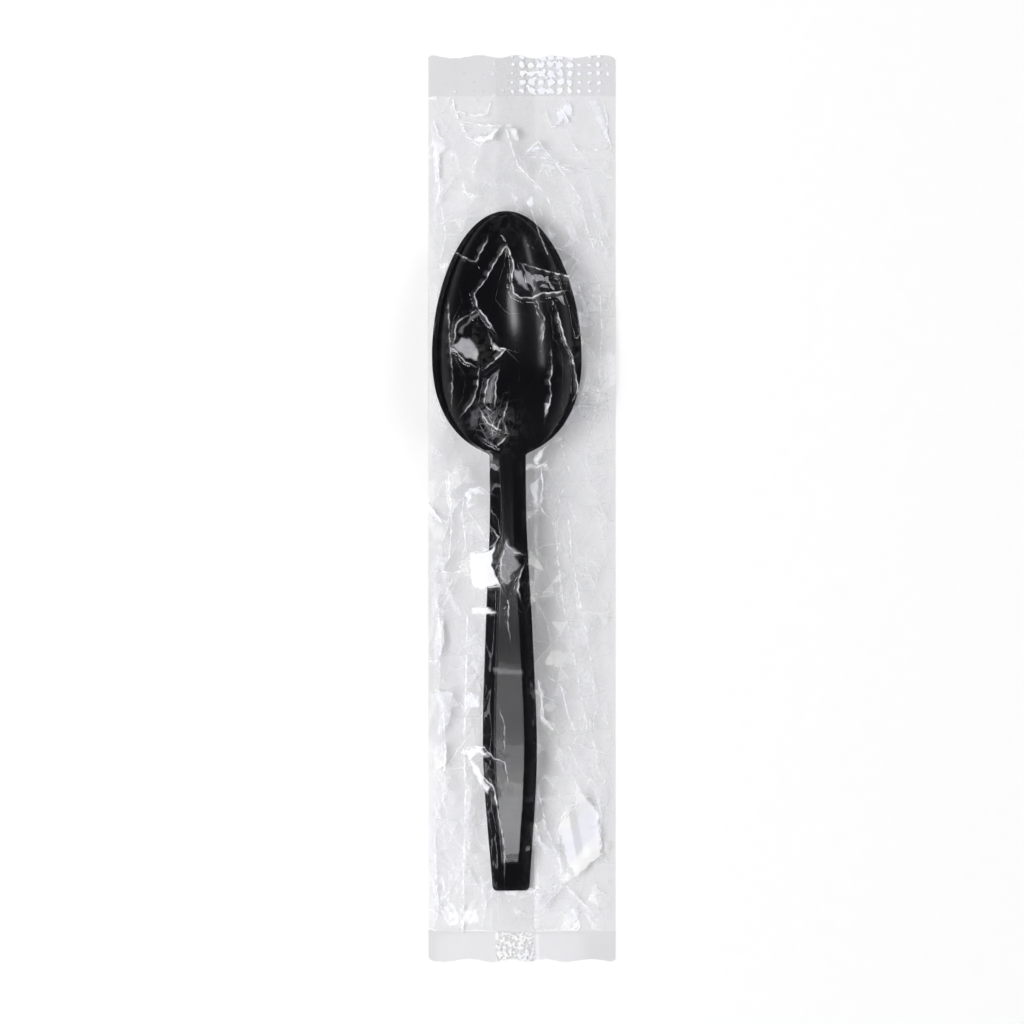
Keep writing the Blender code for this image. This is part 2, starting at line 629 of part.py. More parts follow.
def plastic(name, colour, roughness, alpha=1.0):
    """A plain plastic material."""
    material = bpy.data.materials.new(name)
    material.use_nodes = True
    shader = material.node_tree.nodes["Principled BSDF"]
    shader.inputs["Base Color"].default_value = (*colour, 1)
    shader.inputs["Roughness"].default_value = roughness
    shader.inputs["Metallic"].default_value = 0
    shader.inputs["Alpha"].default_value = alpha
    return material


def move_to(thing, collection):
    """Puts an object in one collection only."""
    for old in list(thing.users_collection):
        old.objects.unlink(thing)
    collection.objects.link(thing)


def main():
    for old in list(bpy.data.objects):
        bpy.data.objects.remove(old)
    pack = bpy.data.collections.new("wrapped_spoon")
    cutters = bpy.data.collections.new("joined_shapes")
    for collection in (pack, cutters):
        bpy.context.scene.collection.children.link(collection)
    spoon = make_spoon()
    sleeve = make_sleeve(cutters)
    spoon.data.materials.append(plastic("black_plastic", (0.012, 0.012, 0.013), 0.25))
    sleeve.data.materials.append(plastic("clear_film", (0.85, 0.85, 0.87), 0.12, alpha=0.3))
    for piece in (spoon, sleeve):
        move_to(piece, pack)


main()
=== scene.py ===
# %% [markdown]
# # A black spoon in a clear film sleeve
#
# This is a lesson in building a small wrapped thing. A disposable spoon lies bowl up in a sleeve
# of clear film. The film was pressed flat and crimped at both ends, welded in a fin along its
# back, and crushed a little in the box, so it is full of sharp creases.
#
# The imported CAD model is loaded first. It is the frame that everything is placed in, in metres,
# with the bowl towards +Y and +Z up. The CAD solids are plain, so both are replaced here by finer
# surfaces that follow the same formulas.

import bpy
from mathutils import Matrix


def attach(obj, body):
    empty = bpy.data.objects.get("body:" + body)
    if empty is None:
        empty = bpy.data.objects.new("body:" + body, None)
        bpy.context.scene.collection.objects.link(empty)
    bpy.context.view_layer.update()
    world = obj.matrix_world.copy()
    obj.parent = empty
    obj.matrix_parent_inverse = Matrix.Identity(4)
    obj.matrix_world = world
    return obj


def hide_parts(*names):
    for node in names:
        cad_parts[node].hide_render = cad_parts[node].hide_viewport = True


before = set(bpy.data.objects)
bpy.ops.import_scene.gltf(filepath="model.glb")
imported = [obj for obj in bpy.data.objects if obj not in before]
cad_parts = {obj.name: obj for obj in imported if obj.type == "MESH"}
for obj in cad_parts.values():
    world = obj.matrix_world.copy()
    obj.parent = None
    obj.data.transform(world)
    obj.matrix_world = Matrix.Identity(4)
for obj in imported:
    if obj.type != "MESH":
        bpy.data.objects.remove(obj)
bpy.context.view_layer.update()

# %% Other modules, and the unit of this lesson
import math

import bpy
import numpy as np

MM = 0.001  # every length below is in millimetres, and is turned to metres when a mesh is made
scene = bpy.context.scene

# %% [markdown]
# ## The camera
#
# The photograph was taken from straight above with a long lens, since no side of the pack shows.
# A perspective camera 1.6 m up, with a lens that takes in 230 mm, gives the same view. Making the
# camera first lets every later step be looked at in its frame.

# %% The camera looks straight down
CAMERA_HEIGHT = 1604.0
VIEW_WIDTH = 229.6
VIEW_MIDDLE = (-2.24, -0.78)

eye = bpy.data.cameras.new("camera_above")
eye.sensor_width = 36
eye.lens = 36 * CAMERA_HEIGHT / VIEW_WIDTH
camera = bpy.data.objects.new("camera_above", eye)
camera.location = (VIEW_MIDDLE[0] * MM, VIEW_MIDDLE[1] * MM, CAMERA_HEIGHT * MM)
scene.collection.objects.link(camera)
scene.camera = camera
print("lens", round(eye.lens, 1), "mm")

# %% [markdown]
# ## Two small curves
#
# Most of the shapes below are drawn through a few measured places. `smooth_line` joins such
# places with cubic pieces. A spline object could do it too, but a formula can be asked for its
# value anywhere, which is what a surface made from arrays needs. `ease` blends one rule into
# another without a kink.


# %% Curves through measured places
def smooth_line(knots, at):
    """Cubic pieces between (place, value) knots; a knot's slope is that between its neighbours."""
    places, values = np.array(knots, float).T
    slopes = np.gradient(values, places)
    k = np.clip(np.searchsorted(places, at, side="right") - 1, 0, len(places) - 2)
    span = places[k + 1] - places[k]
    t = np.clip((at - places[k]) / span, 0, 1)
    start = (1 + 2 * t) * (1 - t) ** 2 * values[k] + t * (1 - t) ** 2 * span * slopes[k]
    end = t**2 * (3 - 2 * t) * values[k + 1] + t**2 * (t - 1) * span * slopes[k + 1]
    return start + end


def ease(t):
    """0 below 0, 1 above 1, and 3t² - 2t³ between them."""
    t = np.clip(t, 0, 1)
    return t * t * (3 - 2 * t)


print("ease(0.25) =", round(float(ease(0.25)), 3))

# %% [markdown]
# ## From a grid of points to a mesh
#
# A surface here is a function of two parameters, worked out for a whole grid of them at once.
# The grid's points go into a mesh as they are, and its faces join neighbours. Building this with
# modelling operators would need hundreds of thousands of steps, and two arrays do it in one.


# %% Make a mesh from a grid
def grid_faces(rows, columns):
    """Four corners of each face of a grid whose points are numbered along its rows."""
    corner = (np.arange(rows - 1)[:, None] * columns + np.arange(columns - 1)).ravel()
    return np.stack([corner, corner + 1, corner + columns + 1, corner + columns], axis=1)


def mesh_object(name, points, faces):
    """An object at the origin whose mesh has these points, in millimetres, and these faces."""
    mesh = bpy.data.meshes.new(name)
    mesh.from_pydata((points * MM).tolist(), [], [list(map(int, face)) for face in faces])
    mesh.validate()
    mesh.shade_smooth()
    thing = bpy.data.objects.new(name, mesh)
    scene.collection.objects.link(thing)
    print(name, len(mesh.vertices), "points,", len(mesh.polygons), "faces")
    return thing


def give_values(thing, name, values):
    """Stores one number for each point, which a material can read by its name."""
    layer = thing.data.attributes.new(name, "FLOAT", "POINT")
    layer.data.foreach_set("value", np.ascontiguousarray(values, np.float32).ravel())


# %% [markdown]
# ## Finishes written as sums
#
# A finish is a small network of nodes. Wiring each node by hand hides what is worked out, so a
# `Wire` wraps an output socket and answers to + - * and the rest by adding the Math node that
# does it. `Finish.node` adds any other node from its type, its settings and its sockets.


# %% Sockets that can be added and multiplied
class Wire:
    """An output socket of a finish; arithmetic on it adds Math nodes."""

    def __init__(self, finish, socket):
        self.finish = finish
        self.socket = socket

    def maths(self, operation, *terms):
        return self.finish.maths(operation, *terms)

    def __add__(self, other):
        return self.maths("ADD", self, other)

    def __radd__(self, other):
        return self.maths("ADD", other, self)

    def __sub__(self, other):
        return self.maths("SUBTRACT", self, other)

    def __rsub__(self, other):
        return self.maths("SUBTRACT", other, self)

    def __mul__(self, other):
        return self.maths("MULTIPLY", self, other)

    def __rmul__(self, other):
        return self.maths("MULTIPLY", other, self)

    def __truediv__(self, other):
        return self.maths("DIVIDE", self, other)

    def held(self):
        """The value, kept between 0 and 1."""
        return self.maths("MINIMUM", self.maths("MAXIMUM", self, 0.0), 1.0)


class Finish:
    """A material whose nodes are added by type, settings and sockets."""

    def __init__(self, name):
        self.material = bpy.data.materials.new(name)
        self.material.use_nodes = True
        self.tree = self.material.node_tree
        self.tree.nodes.clear()

    def node(self, kind, settings=None, sockets=None, out=0):
        made = self.tree.nodes.new(kind)
        for setting, value in (settings or {}).items():
            setattr(made, setting, value)
        for place, value in (sockets or {}).items():
            if isinstance(value, Wire):
                self.tree.links.new(value.socket, made.inputs[place])
            else:
                made.inputs[place].default_value = value
        return made if out is None else Wire(self, made.outputs[out])

    def maths(self, operation, *terms):
        return self.node("ShaderNodeMath", {"operation": operation}, dict(enumerate(terms)))

    def surface(self, shader):
        self.node("ShaderNodeOutputMaterial", None, {"Surface": shader}, out=None)
        return self.material


print("finish helpers ready")

# %% [markdown]
# ## The spoon's outline
#
# Seen from above, the spoon is an egg on a long handle. The egg is two half eggs that meet at
# the widest place, with a fuller curve towards the neck. The handle is widest a third of the way
# up. A cubic mean joins the two and leaves a fillet in the corner, as a mould maker would.

# %% The outline, seen from above
SPOON_LENGTH = 152.0
BOWL_LENGTH = 54.4
BOWL_WIDTH = 33.4
WIDEST_FROM_TIP = 32.0
NECK_AT = 86.0
END_CORNER = 1.0
HEEL_AT = SPOON_LENGTH - BOWL_LENGTH
DEEPEST_AT = SPOON_LENGTH - WIDEST_FROM_TIP


def egg_half_width(u):
    """Half the bowl's width: half its greatest width times the root of 1 - share to a power."""
    to_tip = np.clip((u - DEEPEST_AT) / WIDEST_FROM_TIP, 0, 1) ** 1.85
    to_heel = np.clip((DEEPEST_AT - u) / (DEEPEST_AT - HEEL_AT), 0, 1) ** 2.35
    return BOWL_WIDTH / 2 * np.sqrt(1 - np.maximum(to_tip, to_heel))


def handle_half_width(u):
    """Half the handle's width through four places, less a round corner, faded in the bowl."""
    knots = ((0, 4.1), (31.5, 6.05), (57, 5.3), (NECK_AT, 4.05), (HEEL_AT, 4.05))
    corner = np.clip(END_CORNER - u, 0, END_CORNER)
    rounded = END_CORNER - np.sqrt(END_CORNER**2 - corner**2)
    fade = 1 - ease((u - HEEL_AT) / (DEEPEST_AT - HEEL_AT))
    return (smooth_line(knots, u) - rounded) * fade


def half_width(u):
    """The cube root of the sum of both half widths' cubes."""
    return np.cbrt(egg_half_width(u) ** 3 + handle_half_width(u) ** 3)


print("half width at the neck and the bowl:", half_width(np.array([NECK_AT, DEEPEST_AT])).round(2))

# %% [markdown]
# ## The spoon seen from the side
#
# A spoon that lies on a table touches it with the end of its handle and the back of its bowl,
# and arches over it between. The arch is a line through measured places. It is then lowered and
# tilted by arithmetic until both ends touch, instead of being dropped by a simulation:
# there are only two unknowns.

# %% The spoon's profile, set down on the table
BOWL_DEPTH = 6.6
WALL = 1.3
SHOULDER_DROP = 1.5
HANDLE_DEPTH = 2.6
FILM = 0.05
LAYER = 0.13  # a film and the gap to the next one
SEAT = 2 * LAYER + FILM + 0.3


def bowl_depth(u):
    """Depth under the rim: the full depth times 1 - share to a power, towards tip and heel."""
    to_tip = np.clip((u - DEEPEST_AT) / WIDEST_FROM_TIP, 0, 1)
    to_heel = np.clip((DEEPEST_AT - u) / (DEEPEST_AT - HEEL_AT), 0, 1)
    return BOWL_DEPTH * (1 - to_tip**2.2) ** 0.85 * (1 - to_heel**2) ** 1.2


def crown_shape(u):
    """Top edge of the spoon through six places."""
    knots = ((0, HANDLE_DEPTH), (40, 9.6), (76, 12.4), (HEEL_AT, 11.2),
             (DEEPEST_AT, BOWL_DEPTH + WALL), (SPOON_LENGTH, 6.4))
    return smooth_line(knots, u)


def set_down():
    """Lift and tilt: the lift puts the handle's end down, and the tilt the lowest of the bowl."""
    bowl = np.linspace(HEEL_AT, SPOON_LENGTH, 400)
    under = crown_shape(bowl) - bowl_depth(bowl) - WALL
    lift, tilt = HANDLE_DEPTH - crown_shape(0), 0.0
    for _ in range(4):
        touching = np.argmin(under + lift + tilt * bowl)
        tilt = -(under[touching] + lift) / bowl[touching]
    return SEAT + lift, tilt


LIFT, TILT = set_down()


def crown(u):
    """The top edge's height above the table: the shape, plus the lift, plus the tilt times u."""
    return crown_shape(u) + LIFT + TILT * u


print("crown at the end, arch and tip:", crown(np.array([0, 76, SPOON_LENGTH])).round(2))

# %% [markdown]
# ## The spoon's section
#
# The handle is an upside-down channel: a flat crown panel, two sloping shoulders and two feet,
# which makes a thin moulding stiff. The bowl is a thin shell with a flat land round its rim. Both
# sections are lists of corners from the middle of the top round to the middle of the underside,
# with the same number of corners, so one can turn into the other along the neck.

# %% Half sections of the handle and of the bowl
HOLLOW = (0, 0.24, 0.46, 0.66, 0.84, 1)
OUTSIDE = (1, 0.93, 0.78, 0.56, 0.3, 0)


def handle_corners(u):
    """Corners of half the handle's section, as (x, z under the crown) at stations u."""
    w = half_width(u)
    panel = np.maximum(w - 2.65, 0.25 * w)
    end_drop = SHOULDER_DROP * np.clip(1 - u / 6, 0, 1)

    def roof(x):
        return -np.maximum(end_drop, SHOULDER_DROP * np.clip((x - panel) / (w - panel), 0, 1))

    hollow = u > 1.3
    inner = np.maximum(w - 1.3, 0.3 * w)
    ceiling = np.where(hollow, roof(inner) - WALL, -HANDLE_DEPTH)
    middle = np.where(hollow, -end_drop - WALL, -HANDLE_DEPTH)
    tops = [0 * w, panel / 2, panel - 0.22, panel + 0.22, (panel + w) / 2, (panel + 7 * w) / 8, w]
    low = -HANDLE_DEPTH + 0 * w
    under = [(w, low), (inner, low), (inner, ceiling), (np.minimum(panel, (panel + inner) / 2), middle),
             (panel / 2, middle), (0 * w, middle)]
    return np.array([(x, roof(x)) for x in tops] + under)


def between_corners(corners, q):
    """Points on the straight lines between corners: corner k at q = k."""
    k = np.minimum(q.astype(int), len(corners) - 2)
    part = (q - k)[:, None, None]
    return corners[k] * (1 - part) + corners[k + 1] * part


def bowl_points(u, q):
    """Half the bowl's section: hollow up to q = 5, land to 6, lip to 7, outside to 12."""
    w = half_width(u)[None]
    inner = np.maximum(w - 1.1, w / 2)
    depth = bowl_depth(u)[None]
    q = q[:, None]
    share = np.interp(q, range(6), HOLLOW)
    outer = np.interp(q, range(7, 13), OUTSIDE)
    sphere = (1 - share**2).clip(0) ** 0.8
    outer_sphere = (1 - outer**2).clip(0) ** 0.8
    x = np.where(q <= 5, inner * share, np.where(q <= 6, inner + (w - inner) * (q - 5), w * outer))
    z = np.where(q <= 5, -depth * sphere, 0 * depth)
    lip = -0.6 * np.clip(q - 6, 0, 1)
    z = np.where(q > 6, lip - (depth + WALL - 0.6) * np.where(q > 7, outer_sphere, 0), z)
    return np.stack([x, z], axis=1)


print("corners of a half section:", handle_corners(np.array([40.0])).shape[0])

# %% [markdown]
# ## Carrying the section along the spoon
#
# A loft is a profile carried along a path. Stations are close together where the outline turns
# fast, at both ends and at the heel. No point lies on a corner of the section itself, so every
# edge gets a small chamfer that can catch the light, as a real moulding's edge does.

# %% Loft the spoon
SPOON_TURN = math.radians(0.45)
SPOON_MID_X = -3.05
SPOON_END_Y = -85.6
EDGE = 0.07


def spoon_surface():
    """Points (x, y, z) of the spoon: handle section, eased into the bowl's, along the crown."""
    corner = END_CORNER * (1 - np.cos(np.linspace(0, math.pi / 2, 9)))
    tip = DEEPEST_AT + WIDEST_FROM_TIP * np.sin(np.linspace(0, math.radians(89.4), 60))
    u = np.concatenate([corner, [1.27, 1.33, 2.2, 4.0, 5.8, 6.2], np.linspace(7, NECK_AT, 84),
                        np.linspace(NECK_AT, HEEL_AT + 8, 44)[1:],
                        np.linspace(HEEL_AT + 8, DEEPEST_AT, 26)[1:-1], tip])
    rounds = [np.linspace(0.01, 4.98, 30), [5.0, 5.1, 5.5, 6 - EDGE, 6 + EDGE, 6.5, 7 - EDGE, 7 + EDGE],
              [7.5, 8 - EDGE, 8 + EDGE, 8.6, 9 - EDGE, 9 + EDGE, 9.5, 10, 10.5, 11, 11.5, 12]]
    q = np.concatenate([[0.0]] + rounds)
    into_bowl = ease((u - NECK_AT) / (HEEL_AT + 6.5 - NECK_AT))
    half = between_corners(handle_corners(u), q) * (1 - into_bowl) + bowl_points(u, q) * into_bowl
    left = half[-2:0:-1] * np.array([-1, 1])[None, :, None]
    ring = np.concatenate([half, left])
    x, z = ring[:, 0].T, ring[:, 1].T + crown(u)[:, None]
    y = np.repeat(u[:, None], x.shape[1], axis=1)
    c, s = math.cos(SPOON_TURN), math.sin(SPOON_TURN)
    start_x = SPOON_MID_X + s * SPOON_LENGTH / 2
    return np.stack([start_x + c * x - s * y, SPOON_END_Y + s * x + c * y, z], axis=-1)


surface = spoon_surface()
rows, columns = surface.shape[:2]
wrapped = np.concatenate([surface, surface[:, :1]], axis=1).reshape(-1, 3)
faces = grid_faces(rows, columns + 1)
faces = (faces // (columns + 1)) * columns + faces % (columns + 1) % columns
end_caps = [np.arange(columns)[::-1], np.arange((rows - 1) * columns, rows * columns)]
spoon = mesh_object("spoon_moulding", surface.reshape(-1, 3), list(faces) + end_caps)
spoon.data.flip_normals()
spoon.data.set_sharp_from_angle(angle=math.radians(24))

# %% [markdown]
# ## Black polystyrene
#
# The plastic is nearly black, with a faint cold tint, and glossy. A mould is polished by hand and
# a box of spoons rubs together, so the gloss isn't even: soft clouds and fine rub marks along the
# spoon change its roughness, and a very shallow bump breaks up what it mirrors.

# %% Finish of the spoon
black = Finish("black_polystyrene")
place = black.node("ShaderNodeTexCoord", out=3)
rubbed = black.node("ShaderNodeMapping", None, {"Vector": place, "Scale": (900.0, 60.0, 900.0)})
clouds = black.node("ShaderNodeTexNoise", None, {"Vector": place, "Scale": 70.0, "Detail": 3.0})
marks = black.node("ShaderNodeTexNoise", None, {"Vector": rubbed, "Scale": 1.0, "Detail": 4.0})
waves = black.node("ShaderNodeTexNoise", None, {"Vector": place, "Scale": 240.0, "Detail": 2.0})
shade = black.node("ShaderNodeMix", {"data_type": "RGBA"}, {
    0: clouds, 6: (0.003, 0.003, 0.004, 1), 7: (0.0065, 0.006, 0.008, 1)}, out=2)
relief = black.node("ShaderNodeBump", None, {
    "Strength": 0.35, "Distance": 0.00004, "Height": waves * 0.8 + marks * 0.25})
plastic = black.node("ShaderNodeBsdfPrincipled", None, {
    "Base Color": shade, "Roughness": clouds * 0.08 + marks * 0.1 + 0.08, "Specular IOR Level": 1.0,
    "Normal": relief})
spoon.data.materials.append(black.surface(plastic))
print("black_polystyrene has", len(black.tree.nodes), "nodes")

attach(spoon, "root")
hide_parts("spoon")

# %% [markdown]
# ## Where the spoon holds the film up
#
# The sleeve was a flat tube before the spoon pushed it open. The film follows the spoon's outline
# with a small margin. Past a wide place it can't follow at once, so it spans straight like a tent,
# and the widest span wins. Beyond the spoon's ends everything comes down to the crimped seals.

# %% The outline that the film takes over
SIDE = 21.0
CUT = 101.7
BOTTOM_SEALED = -94.7
TOP_SEALED = 92.3
RIM_MARGIN = 0.55


def spoon_axis_x(y):
    """The spoon's middle line: its middle, less the tangent of its turn times the distance."""
    return SPOON_MID_X - math.tan(SPOON_TURN) * (y - SPOON_END_Y - SPOON_LENGTH / 2)


def towards_seals(y):
    """1 over the spoon, falling in a straight line to 0 at each seal."""
    below = (y - BOTTOM_SEALED) / (SPOON_END_Y - RIM_MARGIN - BOTTOM_SEALED)
    above = (TOP_SEALED - y) / (TOP_SEALED - SPOON_END_Y - SPOON_LENGTH - RIM_MARGIN)
    return np.clip(np.minimum(below, above), 0, 1)


def along_spoon(y):
    """Place along the spoon, held at its ends beyond them."""
    return np.clip(y - SPOON_END_Y, 0, SPOON_LENGTH)


def widest_span(y):
    """The widest of the spoon's half widths near y, each less 0.42 of its distance from y."""
    step = np.linspace(-24, 24, 97)[:, None]
    place = y - SPOON_END_Y + step
    spans = half_width(np.clip(place, 0, SPOON_LENGTH)) + RIM_MARGIN - 0.42 * np.abs(step)
    on_spoon = (place >= 0) & (place <= SPOON_LENGTH)
    return np.max(np.where(on_spoon, spans, RIM_MARGIN), axis=0)


SPAN_AT = np.linspace(-CUT, CUT, 1500)
SPANS = widest_span(SPAN_AT)


def carried_half_width(y):
    """Half the width of film that the spoon holds up, read from a table along the pack."""
    return np.interp(y, SPAN_AT, SPANS)


def side_fold_height(y, gap):
    """Height of a side fold: the rim's height times a fall with its gap from the carried film."""
    near = np.clip(1 - (gap - RIM_MARGIN) / 9, 0, 1) ** 1.5
    lifted = near * ease(towards_seals(y) * 1.6 - 0.3)
    return LAYER + (crown(along_spoon(y)) - 0.3 - LAYER) * lifted


print("carried at the bowl:", carried_half_width(np.array([34.0])).round(2))

# %% [markdown]
# ## The two sides of the sleeve, without creases
#
# The back film lies on the table and rises only at the side folds, next to the wide bowl. The
# front film is level over the spoon, dips a little over the hollow bowl, and falls in a slack
# curve to the side folds. Both are heights over the table as a function of x and y.

# %% Smooth heights of the back and front film
FIN_LEFT = -5.8
FIN_ROOT = 2.7
FIN_STACK = 2 * LAYER


def over_fin(x):
    """1 over the folded fin and 0 beside it, with a short rise between."""
    return ease((x - FIN_LEFT + 0.5) / 0.5) * ease((FIN_ROOT + 0.3 - x) / 0.3)


def back_height(x, y):
    """Half a film, plus each side fold's height times a power of the way towards it."""
    middle, width = spoon_axis_x(y), carried_half_width(y)
    height = FILM / 2 + 0 * x
    for side in (-1, 1):
        gap = SIDE + side * middle * -1 - width
        reach = np.maximum(gap, 0) + 0.75 * width
        away = np.clip((SIDE - side * x) / reach, 0, 1)
        height = height + (side_fold_height(y, gap) - LAYER) * (1 - away) ** 2.3
    return height


def shoulder_fall(x, y):
    """How far the film follows the handle's shoulders down: their drop times the way across them."""
    u = along_spoon(y)
    w = half_width(u)
    panel = np.maximum(w - 2.65, 0.25 * w)
    way = np.clip((np.abs(x - spoon_axis_x(y)) - panel) / np.maximum(w - panel, 0.25), 0, 1)
    way = np.maximum(way, 0.8 * np.clip(1 - (y - SPOON_END_Y) / 6, 0, 1))
    return SHOULDER_DROP * way * (1 - ease((u - NECK_AT) / (HEEL_AT - NECK_AT))) * towards_seals(y) ** 1.4


def front_height(x, y):
    """Level over the spoon less a dip over the bowl, and a power curve down to each side fold."""
    u, middle, width = along_spoon(y), spoon_axis_x(y), carried_half_width(y)
    edge = SIDE - 0.1
    left = np.maximum(middle - width, -edge + 0.3)
    right = np.minimum(middle + width, edge - 0.3)
    flat = FIN_STACK + LAYER
    top = flat + (crown(u) + 0.3 + FILM / 2 - flat) * towards_seals(y) ** 1.4 - shoulder_fall(x, y)
    across = np.clip((x - left) / (right - left), 0, 1)
    height = top - 0.13 * bowl_depth(u) * (1 - (2 * across - 1) ** 2)
    fold_left = side_fold_height(y, left + SIDE) + LAYER / 2
    fold_right = side_fold_height(y, SIDE - right) + LAYER / 2
    from_left = np.clip((x + edge) / (left + edge), 0, 1)
    from_right = np.clip((edge - x) / (edge - right), 0, 1)
    height = np.where(x < left, fold_left + (top - fold_left) * from_left**1.4, height)
    height = np.where(x > right, fold_right + (top - fold_right) * from_right**1.4, height)
    lowest = np.maximum(back_height(x, y), over_fin(x) * FIN_STACK + FILM / 2) + LAYER
    return np.maximum(height, lowest)


heights = front_height(np.array([-3.0, -3.0, 15.0]), np.array([34.0, -10.0, -10.0]))
print("front film over the bowl, over the handle and beside it:", heights.round(2))

# %% [markdown]
# ## How crushed film looks
#
# Film that was crushed keeps flat facets that meet in sharp, straight ridges. Noise textures are
# too round for this. Random heights at the corners of a net of triangles, with flat triangles
# between, give true facets, and each edge of the net can carry a ridge of its own strength. The
# net is bent first, so its triangles aren't all alike.


# %% Facets and ridges on a net of triangles
def scatter(i, j, seed):
    """A number from 0 to 1 that looks random: the fraction of a large multiple of a sine."""
    return (np.sin(i * 127.1 + j * 311.7 + seed * 74.7) * 43758.5453) % 1.0


def bent(x, y, reach, length, seed):
    """x and y, each moved by two sines of the other, so that straight lines become bent ones."""
    a, b = x / length, y / length
    return (x + reach * (np.sin(b + seed) + 0.6 * np.sin(1.9 * b + 0.7 * a + 2 * seed)),
            y + reach * (np.sin(a * 1.1 + 3 * seed) + 0.6 * np.sin(2.1 * a - 0.8 * b + seed)))


def crushed_net(x, y, size, share, seed):
    """(height, line, strength, shade) of a net of triangles.

    The height is linear in each triangle. The line is the distance to the nearest edge that is
    creased, with a sign that changes from one side of an edge to the other, so it can be blended
    between points and still crosses 0 exactly on the edge. The strength is that edge's own, and
    the shade is a number from 0 to 1 for each triangle.
    """
    v = y / (size * math.sqrt(0.75))
    w = x / size - v / 2
    i, j = np.floor(w), np.floor(v)
    a, b = w - i, v - j
    lower = a + b < 1
    corners = [(i + ~lower, j + ~lower), (i + 1, j), (i, j + 1)]
    weights = [np.where(lower, 1 - a - b, a + b - 1), np.where(lower, a, 1 - b), np.where(lower, b, 1 - a)]
    height = sum(part * scatter(*corner, seed) for part, corner in zip(weights, corners))
    line, strength = np.full(x.shape, size), np.zeros(x.shape)
    for k in range(3):
        one, other = corners[k - 1], corners[k - 2]
        creased = np.clip((scatter(one[0] + other[0], one[1] + other[1], seed + 5) - 1 + share) / share, 0, 1)
        away = np.where(creased > 0, weights[k] * size * math.sqrt(0.75), size)
        strength = np.where(away < line, creased, strength)
        line = np.minimum(line, away)
    return height, np.where(lower, line, -line), strength, scatter(i + 0.5 * lower, j, seed + 9)


def tent(line, width):
    """1 on a line, falling to 0 at a width from it."""
    return np.clip(1 - np.abs(line) / width, 0, 1)


sample = crushed_net(np.array([0.0, 3.0]), np.array([1.0, 2.0]), 3.6, 0.5, 8)
print("a net's heights at two places:", sample[0].round(2))
